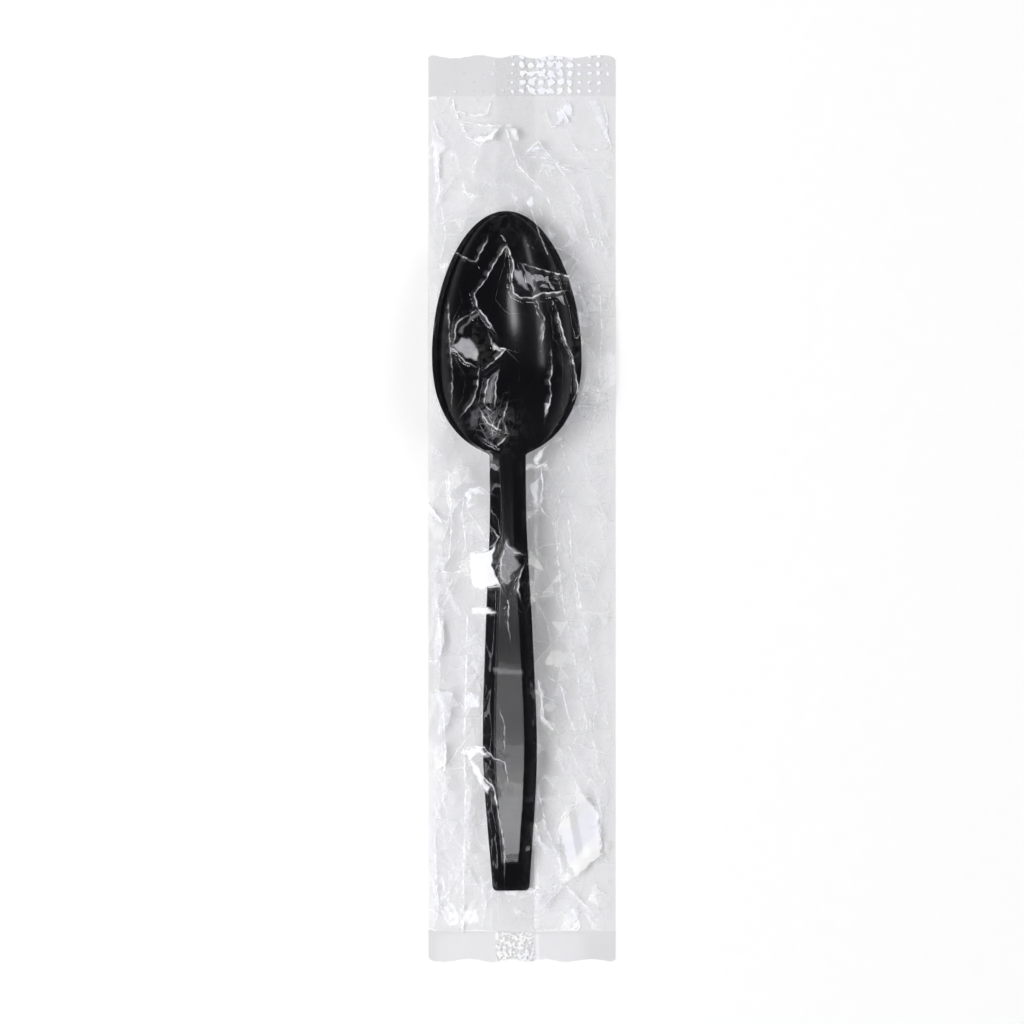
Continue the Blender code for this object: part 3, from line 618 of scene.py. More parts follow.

# %% [markdown]
# ## The creases of this pack
#
# Its main creases are drawn one by one, as lines of places in millimetres on the pack. A crease
# is a tent: it rises from a long gentle side and falls on a short steep side, which faces the
# light here. Its ridge and its steep side are painted white. This is a painted highlight where the
# crease catches the light, and in part the white of film that is bent sharply. Each row of the
# table holds its height, the widths of its long and its steep side, and the places of its line.

# %% The table of creases
CREASES = [
    # over the bowl
    (0.35, 2.2, 0.9, [(-15.2, 57.3), (-11.7, 55.4), (-10.3, 55), (-9.3, 57.1), (-7.8, 59.8), (-7.6, 60.6)]),
    (0.45, 4, 0.9, [(-3.4, 58.9), (-5.9, 55.2), (-8.2, 50.9), (-10.7, 47.9), (-9.9, 44.8), (-8.2, 42.8),
                    (-6.3, 39.8)]),
    (0.45, 3, 0.9, [(-3.4, 58.9), (-1.8, 54.4), (-2.4, 50.9), (-1.8, 48), (-0.5, 47.1), (2.4, 47),
                    (4.1, 48), (7.6, 48.2), (9.4, 48.5)]),
    (0.55, 3.5, 1, [(0, 54.6), (4.9, 53.1), (10.7, 51.7), (12.5, 50.4), (14, 45.5), (15.2, 41.9)]),
    (0.35, 2.5, 0.8, [(-9.9, 44.4), (-11.7, 43.2), (-13.6, 42.3), (-14.8, 40.9), (-15, 37.8),
                      (-15.7, 36.1), (-12.8, 32.8), (-10.3, 31.6)]),
    (0.40, 2.5, 0.8, [(-7.4, 38.9), (-6.5, 36.2), (-3.6, 35.5), (-6.3, 32.8), (-8.2, 31.3)]),
    (0.35, 1.8, 0.8, [(-5.1, 30.9), (-7.4, 28.9), (-8.2, 25.9), (-8.4, 23.1), (-6.7, 21.6)]),
    (0.30, 1.8, 0.8, [(-5.1, 30.9), (-5.9, 27.8), (-5.9, 24.3), (-6.3, 22.4)]),
    (0.40, 2.2, 0.8, [(7.6, 44.8), (9.6, 37.4), (11.1, 34.3), (12.5, 26.6), (11.5, 24.3)]),
    (0.30, 2, 0.8, [(3.8, 44.4), (4.9, 42.8), (4.9, 39.4), (4.1, 35.5)]),
    (0.30, 2, 0.8, [(6.5, 35.5), (6.7, 30.5), (6.1, 28.5), (6.5, 25.1), (5.5, 21.2)]),
    (0.25, 2.5, 0.8, [(-16.5, 46.7), (-16.1, 36.7), (-15.5, 29.7), (-15.7, 23.5)]),
    (0.30, 2, 0.8, [(-9.6, 31.3), (-9.9, 27.4), (-10.9, 23.9), (-14, 20.1)]),
    (0.35, 1.6, 0.8, [(-3.1, 23.9), (-4.3, 19.8), (-3.1, 16.3), (-5.6, 13.8), (-8.5, 15.4)]),
    (0.35, 1.6, 0.8, [(-9.4, 22.1), (-7.8, 19.2), (-5.4, 17.6), (-4.9, 19.8)]),
    # beside the handle
    (0.45, 2, 0.9, [(-7, 3.4), (-9.3, 4.7), (-11.9, 4.2), (-13, 2.2), (-13.4, -0.9), (-12.6, -7.8),
                    (-13.2, -10.1)]),
    (0.55, 2.5, 0.9, [(-7, -3.9), (-5.3, -6.3), (-5.9, -7.8), (-8.2, -9.3), (-11.7, -9.9)]),
    (0.55, 3, 0.9, [(-7.6, -10.9), (-6.3, -14.4), (-4.9, -17.3), (-7.8, -17.5), (-10.8, -18.2)]),
    (0.45, 2.2, 0.9, [(-3.9, -5.7), (-3.6, -7.8), (-1.8, -9.7), (-0.1, -10.1)]),
    (0.50, 2.2, 0.9, [(-3.9, -9.3), (-4.7, -11.7), (-4.7, -14.8), (-3.6, -16.7), (-2.5, -16)]),
    (0.40, 2, 0.9, [(0.3, -12.8), (-0.7, -15.5), (-0.9, -18.2), (-0.3, -20.2)]),
    (0.35, 1.8, 0.8, [(-12.6, -22.5), (-7.4, -22.1), (-5.9, -23.2)]),
    (0.40, 2.5, 0.9, [(-20.6, -15.1), (-19, -14), (-15.2, -14.4), (-13.4, -13.8)]),
    (0.45, 3.5, 1.2, [(-20.9, 1.2), (-19.3, -1.5), (-17.3, -4.1)]),
    (0.30, 2, 0.8, [(-2.9, -20.5), (-3.2, -25.6), (-2.6, -29)]),
    (0.45, 2.2, 0.9, [(1.3, 8.6), (4.1, 9.4), (6.1, 10.9)]),
    (0.45, 2.4, 0.9, [(4.1, 10.4), (4.6, 5.3), (4.1, 0.3), (5.7, -2)]),
    (0.45, 2.4, 0.9, [(4.1, 6.9), (6.5, 2.6), (8, -2)]),
    (0.45, 2.4, 0.9, [(8.5, 15.4), (10.7, 7.6), (9.2, 4.2), (8, 0.7)]),
    (0.45, 4, 0.9, [(7.6, -2.6), (8, -11.7), (9.2, -21.3), (11.1, -30.2), (13.4, -42.6), (15, -51.7)]),
    (0.40, 3, 0.9, [(10.3, -1.5), (11.1, -10.9), (13, -21.3), (14.2, -27.1), (15.7, -36.8), (16.1, -42.9)]),
    (0.45, 2.6, 0.9, [(3.3, -36.7), (4.1, -40.6), (4.9, -47.2), (6.9, -48), (8.4, -50.3)]),
    (0.40, 2.2, 0.9, [(5.9, -37.5), (8.8, -39.9), (10.3, -46.3), (12.3, -50.6)]),
    (0.40, 2.4, 1, [(-12.2, -22.8), (-12.4, -32.5), (-12.6, -40.6), (-13, -51.9)]),
    (0.30, 2, 0.9, [(-12.2, -31.4), (-9.3, -33.7)]),
    (0.40, 2.6, 0.9, [(-16.6, 8.6), (-15.7, -2.6), (-16.4, -11.5)]),
    (0.35, 2.4, 0.9, [(-19.3, -18.3), (-18.2, -29.5), (-18.8, -40.7)]),
    # by the handle's end
    (0.45, 2.2, 0.9, [(-13.4, -54.9), (-11.7, -53.2), (-8.6, -53.2), (-6.3, -55.7), (-3.9, -56.5),
                      (-2.8, -62.2)]),
    (0.50, 2.6, 0.9, [(-11.3, -56.1), (-9.7, -59.1), (-6.3, -62.2), (-5.3, -68), (-3.9, -75.8),
                      (-3.9, -81.9)]),
    (0.30, 1.6, 0.8, [(-5.1, -44.7), (-3.9, -48), (-3.9, -54.5)]),
    (0.60, 3.5, 1.2, [(10.3, -52.8), (13, -59.1), (15.7, -60.9), (17.7, -68), (17.7, -75.8), (14.3, -79)]),
    (0.50, 3, 1.1, [(12.6, -65.4), (8.4, -70.4), (8.1, -75.8), (9.4, -83.5)]),
    (0.45, 2.6, 0.9, [(3.6, -63.1), (5.7, -71.9), (8, -78.4), (9.4, -83.7)]),
    (0.45, 2.4, 0.9, [(2.8, -70), (4.1, -74.6), (6.9, -77.7)]),
    (0.40, 2.2, 0.9, [(9.4, -83.7), (11.9, -82.2), (15.7, -78.4), (18.5, -76.9)]),
    (0.40, 2, 0.9, [(2.6, -84.6), (5.7, -85.2), (9.4, -83.7), (6.1, -87.7), (2.6, -87.3)]),
    (0.45, 2.2, 0.9, [(9.6, -84.2), (13, -87.7), (16.5, -92)]),
    (0.45, 3, 1, [(-13.1, -53), (-12.6, -62.2), (-12.9, -73.2), (-13.2, -83.9), (-13.2, -99)]),
    (0.40, 3.5, 1.3, [(-17.8, -44.1), (-17.1, -53.7), (-17.5, -59.7)]),
    (0.35, 2.6, 1.1, [(-19.6, -73.2), (-19.3, -81), (-18.8, -91.1)]),
    (0.35, 2.6, 1, [(16.8, -42.9), (15.7, -50.8), (17.3, -60)]),
    (0.35, 2.4, 1, [(11, -88.9), (13, -93.4), (11.7, -97.2)]),
    (0.30, 2.4, 1, [(-9.4, -83.3), (-8.1, -88.9), (-9, -94.5)]),
    # above the bowl
    (0.45, 2.4, 0.9, [(-15.4, 92), (-15.1, 89.1), (-12.4, 83.4), (-9.7, 81.3), (-4.9, 85.3)]),
    (0.40, 2.4, 0.9, [(-14.8, 89.1), (-10.3, 88.1), (-7.8, 88.5), (-6.8, 91.6)]),
    (0.35, 2, 0.9, [(-13.9, 87), (-9.3, 85.8), (-0.7, 85.8)]),
    (0.50, 3, 0.9, [(-3.7, 85.5), (-2.4, 81), (-0.9, 76.5), (2.1, 73.5), (5.4, 69.9), (7.6, 64.2)]),
    (0.40, 2.6, 0.9, [(-9.2, 81), (-10.9, 76.2), (-11.2, 73.8)]),
    (0.40, 2, 0.9, [(-13, 73.6), (-13.3, 71.4), (-11.7, 69.6), (-8.2, 70.5)]),
    (0.50, 3, 0.9, [(0, 78.9), (3.6, 82.2), (8, 76.5), (10.5, 73.2), (12.9, 69.3), (14.8, 61.3),
                    (16.8, 56.6)]),
    (0.35, 2.6, 0.9, [(0, 78.9), (5.4, 78.3), (10.2, 76.8), (15.9, 75.9)]),
    (0.40, 2.2, 0.9, [(10.5, 84.3), (12, 80.3), (16.2, 80.4), (19.5, 80.4)]),
    (0.40, 2.2, 1, [(18.3, 90.7), (19.2, 87), (18.9, 84.3), (20.2, 80.4)]),
    (0.35, 2, 0.9, [(5, 90.5), (6.3, 85.8), (9, 85.1)]),
    (0.35, 2, 0.9, [(8.5, 89.8), (11.4, 85.5)]),
    (0.45, 2.6, 1, [(-19.9, 87.6), (-18.7, 83.4), (-16.9, 81.9), (-16.6, 80.1)]),
    (0.40, 2.6, 1.1, [(-19.3, 79.5), (-18.4, 72.3), (-19.7, 65.8)]),
    (0.35, 2.2, 0.9, [(-2.7, 71.4), (-1.6, 68), (0.4, 66.5)]),
    (0.40, 2.6, 1, [(14.8, 72.5), (16.1, 65.8), (18.4, 57.5)]),
    (0.30, 2.6, 1, [(-18.2, 68), (-17, 61.3), (-18.4, 55.3)]),
    (0.30, 3.2, 1.2, [(17.3, 50.1), (17.9, 40), (17, 25.4), (15.2, 15.4)]),
]
print(len(CREASES), "creases")


# %% From a line to a tent
TO_LIGHT = (-0.86, -0.5)  # direction of the light, seen from above
FAR = 9.0  # stands for no crease near by


def near_line(x, y, line):
    """(distance, side, step towards the light, place along, whole length) at a line's nearest place.

    The place is the foot of the perpendicular on each straight piece, held between its ends, and
    the nearest of those wins. The side is the sign of the cross product with the piece.
    """
    best = np.full(x.shape, 1e9)
    side, ahead, along = np.ones(x.shape), np.zeros(x.shape), np.zeros(x.shape)
    travelled = 0.0
    for (x0, y0), (x1, y1) in zip(line[:-1], line[1:]):
        dx, dy = x1 - x0, y1 - y0
        length = math.hypot(dx, dy)
        t = np.clip(((x - x0) * dx + (y - y0) * dy) / length**2, 0, 1)
        off_x, off_y = x - x0 - t * dx, y - y0 - t * dy
        distance = np.hypot(off_x, off_y)
        nearer = distance < best
        best = np.where(nearer, distance, best)
        side = np.where(nearer, np.sign(off_x * dy - off_y * dx), side)
        ahead = np.where(nearer, off_x * TO_LIGHT[0] + off_y * TO_LIGHT[1], ahead)
        along = np.where(nearer, travelled + t * length, along)
        travelled += length
    return best, side, ahead, along, travelled


def zigzag(t):
    """A triangle wave: -1 at whole numbers, 1 half way between."""
    return 1 - 4 * np.abs(t % 1 - 0.5)


def crease_field(x, y):
    """(height, line, strength, lit side highlight) of the creases.

    The height is the highest tent. The line is the signed distance to the nearest crease, moved
    by two zigzags so that it has kinks, and its strength jumps from piece to piece, as a real
    one's does. The lit side highlight is a painted highlight on the crease's steep side, which
    faces the light.
    """
    height, line, strength = np.zeros(x.shape), np.full(x.shape, FAR), np.zeros(x.shape)
    lit_side_highlight = np.zeros(x.shape)
    for number, (rise, long_side, steep_side, places) in enumerate(CREASES):
        reach = long_side + 0.5
        xs, ys = np.array(places).T
        near = ((x > xs.min() - reach) & (x < xs.max() + reach)
                & (y > ys.min() - reach) & (y < ys.max() + reach))
        away, side, ahead, along, length = near_line(x[near], y[near], places)
        jag = 0.09 * zigzag(along / 2.1 + 0.37 * number) + 0.03 * zigzag(along / 0.8 + 0.61 * number)
        ragged = away * side + jag
        ends = np.clip(np.minimum(along, length - along) / 2.0, 0, 1) * 0.75 + 0.25
        falls = np.where(ahead > 0, steep_side, long_side)
        height[near] = np.maximum(height[near], rise * ends * tent(away, falls))
        uneven = 0.12 + 0.88 * scatter(np.floor(along / 1.1 + 0.37 * number), number, 2) ** 1.2
        bold = ends * uneven * min(1, rise / 0.45)
        nearer = np.abs(ragged) < np.abs(line[near])
        line[near] = np.where(nearer, ragged, line[near])
        strength[near] = np.where(nearer, bold, strength[near])
        # Painted highlight: only the steep side that faces the light is painted white.
        lit_side_mask = np.where(ahead > 0, tent(away, steep_side * (0.5 + uneven)) ** 0.7, 0)
        lit_side_highlight[near] = np.maximum(lit_side_highlight[near], bold**1.6 * lit_side_mask)
    return height, line, strength, lit_side_highlight


print("crease height at a fold's tip:", crease_field(np.array([-3.4]), np.array([58.9]))[0].round(2))

# %% [markdown]
# ## The longest folds
#
# The solid's own folds and slow waves are here too, from the same numbers as in the CAD source,
# so that the dressed sleeve keeps the solid's form.

# %% Folds and waves shared with the solid
FOLDS = (
    ((-15.5, 57.5), (-9.0, 54.5), 0.7, 4.0, 1.6), ((-3.4, 59.5), (-10.8, 47.0), 0.8, 4.5, 1.7),
    ((-2.4, 58.5), (-1.8, 46.5), 0.7, 4.0, 1.6), ((-1.0, 54.8), (11.5, 51.5), 0.9, 4.0, 1.6),
    ((9.5, 52.5), (15.5, 41.0), 0.8, 4.0, 1.6), ((8.0, 44.5), (12.8, 26.0), 0.7, 4.0, 1.6),
    ((-10.2, 24.0), (-2.0, 15.5), 0.8, 3.5, 1.6), ((-13.5, 0.5), (-7.0, 5.0), 0.7, 3.0, 1.6),
    ((-20.0, -11.0), (-8.5, -15.5), 0.9, 4.5, 1.8), ((-13.0, -19.5), (-9.5, -30.0), 0.7, 3.5, 1.6),
    ((-14.5, -41.0), (-8.5, -45.0), 0.7, 3.0, 1.6), ((-12.5, -55.5), (-8.0, -64.0), 0.8, 4.0, 1.6),
    ((-13.0, -66.0), (-13.5, -88.0), 0.6, 4.0, 1.6), ((3.5, 9.5), (10.5, -18.0), 1.0, 4.5, 1.7),
    ((12.5, 12.0), (17.5, -6.0), 0.8, 4.0, 1.7), ((8.0, -15.0), (15.5, -52.5), 1.0, 5.0, 1.8),
    ((13.0, -18.0), (17.5, -44.0), 0.7, 3.5, 1.6), ((3.8, -36.0), (8.8, -51.0), 0.7, 3.5, 1.6),
    ((8.0, -53.5), (17.8, -62.0), 0.8, 4.0, 1.7), ((9.0, -60.0), (12.5, -80.0), 0.9, 5.0, 1.7),
    ((9.2, -84.5), (17.5, -74.0), 0.7, 4.0, 1.7), ((-14.0, 86.0), (-7.0, 66.0), 0.9, 5.0, 1.8),
    ((3.0, 84.0), (13.5, 61.0), 0.9, 5.0, 1.8), ((-1.0, 88.0), (-2.5, 70.0), 0.7, 4.0, 1.7),
)
WAVES = ((14, 11.3, 0.30, 0.5), (-37, 9.1, 0.26, 0.7), (71, 13.7, 0.34, 0.4), (-82, 7.9, 0.18, 0.6))


def long_folds(x, y):
    """The sum of tents over straight lines, each with a long side on its left."""
    total = np.zeros(x.shape)
    for start, end, rise, long_side, steep_side in FOLDS:
        a, b = np.array(start), np.array(end)
        length = np.linalg.norm(b - a)
        dx, dy = (b - a) / length
        along = ((x - a[0]) * dx + (y - a[1]) * dy) / length
        aside = (x - a[0]) * dy - (y - a[1]) * dx
        side = np.where(aside > 0, long_side, steep_side)
        total += rise * np.clip(1 - (2 * along - 1) ** 4, 0, 1) * np.clip(1 - np.abs(aside) / side, 0, 1)
    return total


def slow_waves(x, y):
    """The sum of sharp waves in four directions, bent by a sine along them."""
    total = np.zeros(x.shape)
    for degrees, pitch, rise, bend in WAVES:
        turn = math.radians(degrees)
        across = (x * math.cos(turn) + y * math.sin(turn)) / pitch
        along = (y * math.cos(turn) - x * math.sin(turn)) / 33
        total += rise * np.abs(2 * ((across + bend * np.sin(2 * math.pi * along)) % 1) - 1)
    return total


print(len(FOLDS), "long folds and", len(WAVES), "sets of waves")

# %% [markdown]
# ## The crimped ends
#
# Hot jaws press each end flat between a pattern of small pyramids, and a toothed knife cuts it.
# The pattern is finer than the mesh, so it's left to the finish, which only needs to know where
# the jaws were and how hard they pressed. At the cut, a row's places are moved back by a wave
# with a few sharper teeth, and the corners are rounded.


# %% Jaws and cut edges
def pressed(y):
    """1 inside a crimped end and 0 outside, with a turn over 0.8 mm."""
    return ease((np.maximum(y - TOP_SEALED, BOTTOM_SEALED - y) + 0.4) / 0.8)


def pressing(x, y):
    """How hard the jaws pressed, which sets the pattern's bump and how many of its dents get a painted glint:
    two bells at the top, right of the middle, and the fin below.
    """
    top = 0.14 + 0.86 * np.exp(-(((x - 5.5) / 8) ** 4)) + 0.5 * np.exp(-(((x - 17) / 2) ** 2))
    return np.where(y > 0, top, 0.16 + 0.85 * over_fin(x)) * pressed(y)


def cut_edge(x, y):
    """y with its last 3 mm moved back by a wave and by round corners."""
    last = np.clip((np.abs(y) - CUT + 3) / 3, 0, 1) ** 2
    wave = 0.34 * (1 - np.cos(2 * math.pi * x / 9.3 + np.sign(y) + 0.8 * np.sin(x / 5)))
    teeth = 0.12 * (1 + zigzag(x / 2.15)) * (0.5 + 0.5 * np.sin(x / 3))
    corner = 0.6 * np.clip((np.abs(x) - 20.2) / 0.8, 0, 1) ** 2
    return y - np.sign(y) * last * (wave + teeth + corner)


pressed_hard = pressing(np.array([4.3, 15]), np.array([97.5, 97.5]))
print("pressing at the top's middle and edge:", pressed_hard.round(2))

# %% [markdown]
# ## Tight and slack film
#
# Over the crown of the handle and over most of the bowl the film is tight and nearly smooth. On
# both sides of the spoon it is slack, and there it kept all its facets. A few spots were crushed
# hard. One function of place says how slack the film is, and scales everything that is added.

# %% Where the film is slack
CRUSHED_SPOTS = (  # x, y, reach and strength of each
    (-7, 19, 4.5, 0.7), (-7, -14, 5, 0.8), (-12, 36, 5, 0.3), (4, 51, 4, 0.25), (2, 76, 9, 0.5),
    (-10, 74, 8, 0.5), (10, -70, 8, 0.4), (3, -92, 5, 0.5), (12, 33, 5, 0.15), (-8, -62, 4, 0.4))


def crushed(x, y):
    """The sum of round spots, each its strength times a bell of the distance over its reach."""
    total = np.zeros(x.shape)
    for at_x, at_y, reach, more in CRUSHED_SPOTS:
        total = total + more * np.exp(-((x - at_x) ** 2 + (y - at_y) ** 2) / reach**2)
    return total


def slackness(x, y):
    """Little well inside the outline that carries the film, 1 outside it, more in crushed spots."""
    tight = ease((carried_half_width(y) - np.abs(x - spoon_axis_x(y))) / 3) * towards_seals(y)
    return np.minimum(1 - 0.9 * tight + crushed(x, y), 1.0)


def over_spoon(x, y):
    """1 over the black spoon, 0 beside it, with a step 0.6 mm wide."""
    inside = half_width(along_spoon(y)) - np.abs(x - spoon_axis_x(y))
    return ease(inside / 0.6 + 0.5) * (towards_seals(y) > 0.99)


def freedom(x, y):
    """How much the film may be creased: 0 at the side folds and seals, times the slackness."""
    return np.clip((SIDE - np.abs(x)) / 2, 0, 1) * towards_seals(y) ** 0.5 * slackness(x, y)


slack = slackness(np.array([-3.0, 12.0, -7.0]), np.array([-40.0, -40.0, 19.0]))
print("slackness on the crown, beside it and in a crushed spot:", slack.round(2))

# %% [markdown]
# Some facets lie just so that they mirror the light and look white. These are painted
# highlights, drawn as polygons in millimetres, each after its whiteness. A point is inside when a
# ray from it crosses the polygon's sides an odd number of times, and the distance to the nearest
# side makes the border a little soft. Every point is first moved by a zigzag, which makes the
# sides crooked.

# %% Painted highlights: facets that look white
HIGHLIGHT_FACETS = (
    # beside and over the handle
    (1.0, [(-11.7, -9.9), (-7.8, -9.6), (-5.6, -7.8), (-6.4, -10.2), (-6.7, -12.7), (-5.6, -15.5),
           (-4.7, -17.1), (-6.2, -17.2), (-9.4, -18.1), (-11.3, -16.8), (-11.7, -13.3)]),
    (0.24, [(-5, -10.8), (-3.4, -6.1), (-2.5, -8.3), (0, -9.9), (-1.5, -10.8), (0, -12.7), (-2.2, -14.6),
            (-2.8, -17.1), (-4.7, -16.8), (-5.3, -14)]),
    (0.8, [(-11.6, -22.2), (-7.8, -21.8), (-5.6, -23.4), (-7.8, -23.7), (-11.3, -23.5)]),
    (0.8, [(-12.8, 3.9), (-10.3, 4.9), (-7.2, 3.3), (-8.4, 3), (-10.9, 3.3), (-11.6, 1.1), (-10, 0.8),
           (-12.5, -0.2)]),
    (0.75, [(-13.5, -41.6), (-11.3, -41), (-9.4, -41.9), (-9.4, -44.4), (-12.5, -44.7)]),
    (0.9, [(3.2, -37.5), (4.8, -41), (4.5, -46), (8.2, -50.1), (5.4, -48.8), (3.8, -46.6), (4.1, -42.9)]),
    (0.6, [(-20.7, 1.1), (-19.1, -0.8), (-17.5, -3.3), (-19.1, -2.7), (-20.7, -1.4)]),
    (0.45, [(-19.1, -25.3), (-17.5, -24), (-17.2, -30.3), (-19.1, -35.3), (-20, -31.6)]),
    (0.5, [(-19.7, -40.4), (-15.3, -41), (-16, -47.9), (-19.1, -51.7), (-18.5, -45.4)]),
    (0.5, [(2.2, 11.1), (5.7, 14.6), (4.8, 12.4), (3.5, 9.2)]),
    (0.5, [(1.3, 4.9), (4.1, 7.4), (3.5, 1.7), (4.8, -0.2), (3.2, 0.2)]),
    (0.45, [(6.5, -3), (7.8, -2), (9.4, -9.5), (8.6, -10)]),
    (0.4, [(9.6, 3.5), (11.5, 1.2), (12.6, -3.6), (10.8, -1.8)]),
    (0.35, [(10.2, -14), (11.4, -12.6), (13.4, -22.5), (12.5, -23.5)]),
    (0.12, [(-6.6, -35.2), (0.2, -35.9), (0.3, -37.2), (-6.4, -36.8)]),
    # round the handle's end
    (0.85, [(-12.8, -54), (-9.4, -52.9), (-7.2, -55.3), (-7.8, -55.5), (-10.3, -54.6), (-11.3, -56.2),
            (-9.4, -58.1), (-7.8, -61.5), (-7.2, -62.2), (-7.5, -64.1), (-9.4, -61.5), (-10.9, -58.7)]),
    (1.0, [(10.4, -53.7), (11.4, -58.7), (13.2, -63.4), (17.3, -68.1), (17.9, -77.5), (14.8, -80.1),
           (12.3, -82.6), (9.8, -78.8), (8.2, -70.6), (12.3, -66.3), (11.2, -58.7)]),
    (0.7, [(2.9, -72.5), (4.8, -74.4), (7.3, -77.6), (6.3, -78.2), (3.8, -75.7)]),
    (0.6, [(9.2, -91.4), (12, -88.9), (13.2, -90.8), (11.1, -94.2), (8.9, -93.9)]),
    (0.45, [(-20, -53.7), (-17.2, -51.2), (-16.6, -56.8), (-19.1, -59.3)]),
    (0.45, [(-20.4, -82.6), (-19.1, -83.2), (-18.2, -90.1), (-19.7, -87.6)]),
    (0.35, [(-12.7, -60), (-11, -63), (-12, -74), (-13.2, -70)]),
    (0.35, [(3, -86), (8, -85), (5.5, -90), (2.5, -89)]),
    # over the bowl
    (0.37, [(-15.7, 36.2), (-13.5, 38.1), (-11.6, 38.1), (-9.7, 35.6), (-9.7, 32.8), (-12.8, 33.7)]),
    (0.5, [(-6.9, 37.5), (-5.6, 36.2), (-4, 35.3), (-5, 35), (-6.4, 35.3)]),
    (0.37, [(-2.2, 53.5), (-0.3, 53.2), (1, 50.7), (1.9, 48.2), (-0.9, 50.1), (-1.8, 51.9)]),
    (0.53, [(4.8, 23.7), (6.3, 23.4), (5.7, 21.2), (4.8, 20.2), (5.1, 22.1)]),
    (0.5, [(11.4, 51.3), (12.9, 49.4), (13.6, 46.9), (15.1, 42.5), (14.2, 42.2), (13.6, 44.4),
           (12.6, 47.5), (12.3, 49.4)]),
    (0.15, [(-14.6, 39.5), (-10.3, 43.9), (-9.3, 43.3), (-12.6, 40.6), (-13.4, 38.5)]),
    (0.25, [(4.2, 42.5), (5.1, 41.2), (4.6, 36.8), (3.9, 38)]),
    (0.19, [(-8.2, 26.5), (-6.3, 30.2), (-5.2, 30.4), (-6.2, 27.2), (-6.5, 23.5), (-8.2, 23.2)]),
    (0.08, [(-7.6, 22), (-5.6, 21.5), (-5.9, 18.4), (-4.5, 15.8), (-6.9, 15.2), (-8.4, 18.3)]),
    (0.08, [(-11.6, 21.4), (-9.3, 23), (-9.6, 19), (-11.8, 17.6)]),
    # above the bowl
    (0.85, [(-11.9, 83.2), (-7.8, 83.5), (-5, 85.7), (-6.6, 82.6), (-9.4, 81.6)]),
    (0.8, [(-2.8, 85.1), (-0.9, 85.1), (-0.6, 82.3), (-1.8, 82.3), (-2.5, 83.8)]),
    (0.8, [(0.4, 79.7), (3.2, 81.6), (5.1, 80.4), (2.2, 79.7)]),
    (0.95, [(-2.2, 69.7), (-0.9, 70), (-1.2, 68.1), (-1.8, 68.4)]),
    (0.95, [(0.7, 68.7), (2.2, 70), (2.9, 67.8), (1.9, 66.9), (1, 67.8)]),
    (0.8, [(-12.8, 73.1), (-12.5, 71), (-10.3, 70), (-8.1, 69.7), (-10.9, 69.1), (-13.1, 71.3)]),
    (0.8, [(7.6, 89.2), (11.1, 91.4), (11.7, 87.6), (9.8, 88.2), (11.4, 85.4), (9.2, 87), (8.5, 85.7),
           (6, 85.1), (7.9, 86.7)]),
    (0.6, [(14.8, 91.4), (17, 92), (18.9, 85.7), (20.5, 80.4), (18.6, 83.2), (16.7, 87.6)]),
    (0.6, [(-20, 82.6), (-17.5, 82.6), (-16.6, 80.7), (-18.2, 79.4), (-18.5, 72.5), (-19.7, 73.1)]),
    (0.6, [(9.2, 63.2), (11.4, 64.2), (12.6, 60.1), (11.1, 59.5)]),
    (0.6, [(14.5, 62.6), (16.1, 60.7), (18.3, 56.3), (16.4, 58.9)]),
    (0.35, [(3.5, 77.5), (9.5, 77), (12.5, 75.2), (6, 75.6)]),
    (0.35, [(15, 72), (17.6, 69), (18.4, 62), (16.2, 65)]),
)


def highlight_facets(x, y):
    """The whitest of the painted highlight polygons at each place, softer over 0.35 mm inside their crooked
    sides.
    """
    total = np.zeros(x.shape)
    for white, corners in HIGHLIGHT_FACETS:
        xs, ys = np.array(corners).T
        near = (x > xs.min() - 0.4) & (x < xs.max() + 0.4) & (y > ys.min() - 0.4) & (y < ys.max() + 0.4)
        px = x[near] + 0.15 * zigzag(y[near] / 2.3)
        py = y[near] + 0.15 * zigzag(x[near] / 1.9)
        crossings = np.zeros(px.shape, int)
        for (x0, y0), (x1, y1) in zip(corners, corners[1:] + corners[:1]):
            spans = (y0 > py) != (y1 > py)
            meets = x0 + (py - y0) * (x1 - x0) / (y1 - y0 if y1 != y0 else 1)
            crossings += spans & (px < meets)
        away = near_line(px, py, corners + corners[:1])[0]
        fullness = np.clip(away / 0.35, 0, 1) * (0.8 + 0.2 * np.clip(away / 1.3, 0, 1))
        total[near] = np.maximum(total[near], (crossings % 2) * white * fullness)
    return total


print(len(HIGHLIGHT_FACETS), "white facets")

# %% [markdown]
# ## The front film
#
# Everything is now added up on a fine grid: the smooth height, the longest folds, the creases of
# the table, and three sizes of crushed net. Only heights above the smooth one are added, so the
# film never dips into the spoon. The grid is closest over the spoon, where creases stand out on
# black. Distances to creases and the painted highlights of creases and facets go into values that
# the finish reads. The two crimped ends get the second of the two finishes made further on.

# %% Build the front film
CREASE_RISE = 0.6
LARGE_NET = (9.5, 0.6, 3)  # size of the triangles, share of creased edges, seed
SMALL_NET = (3.6, 0.5, 8)
TINY_NET = (1.7, 0.7, 13)


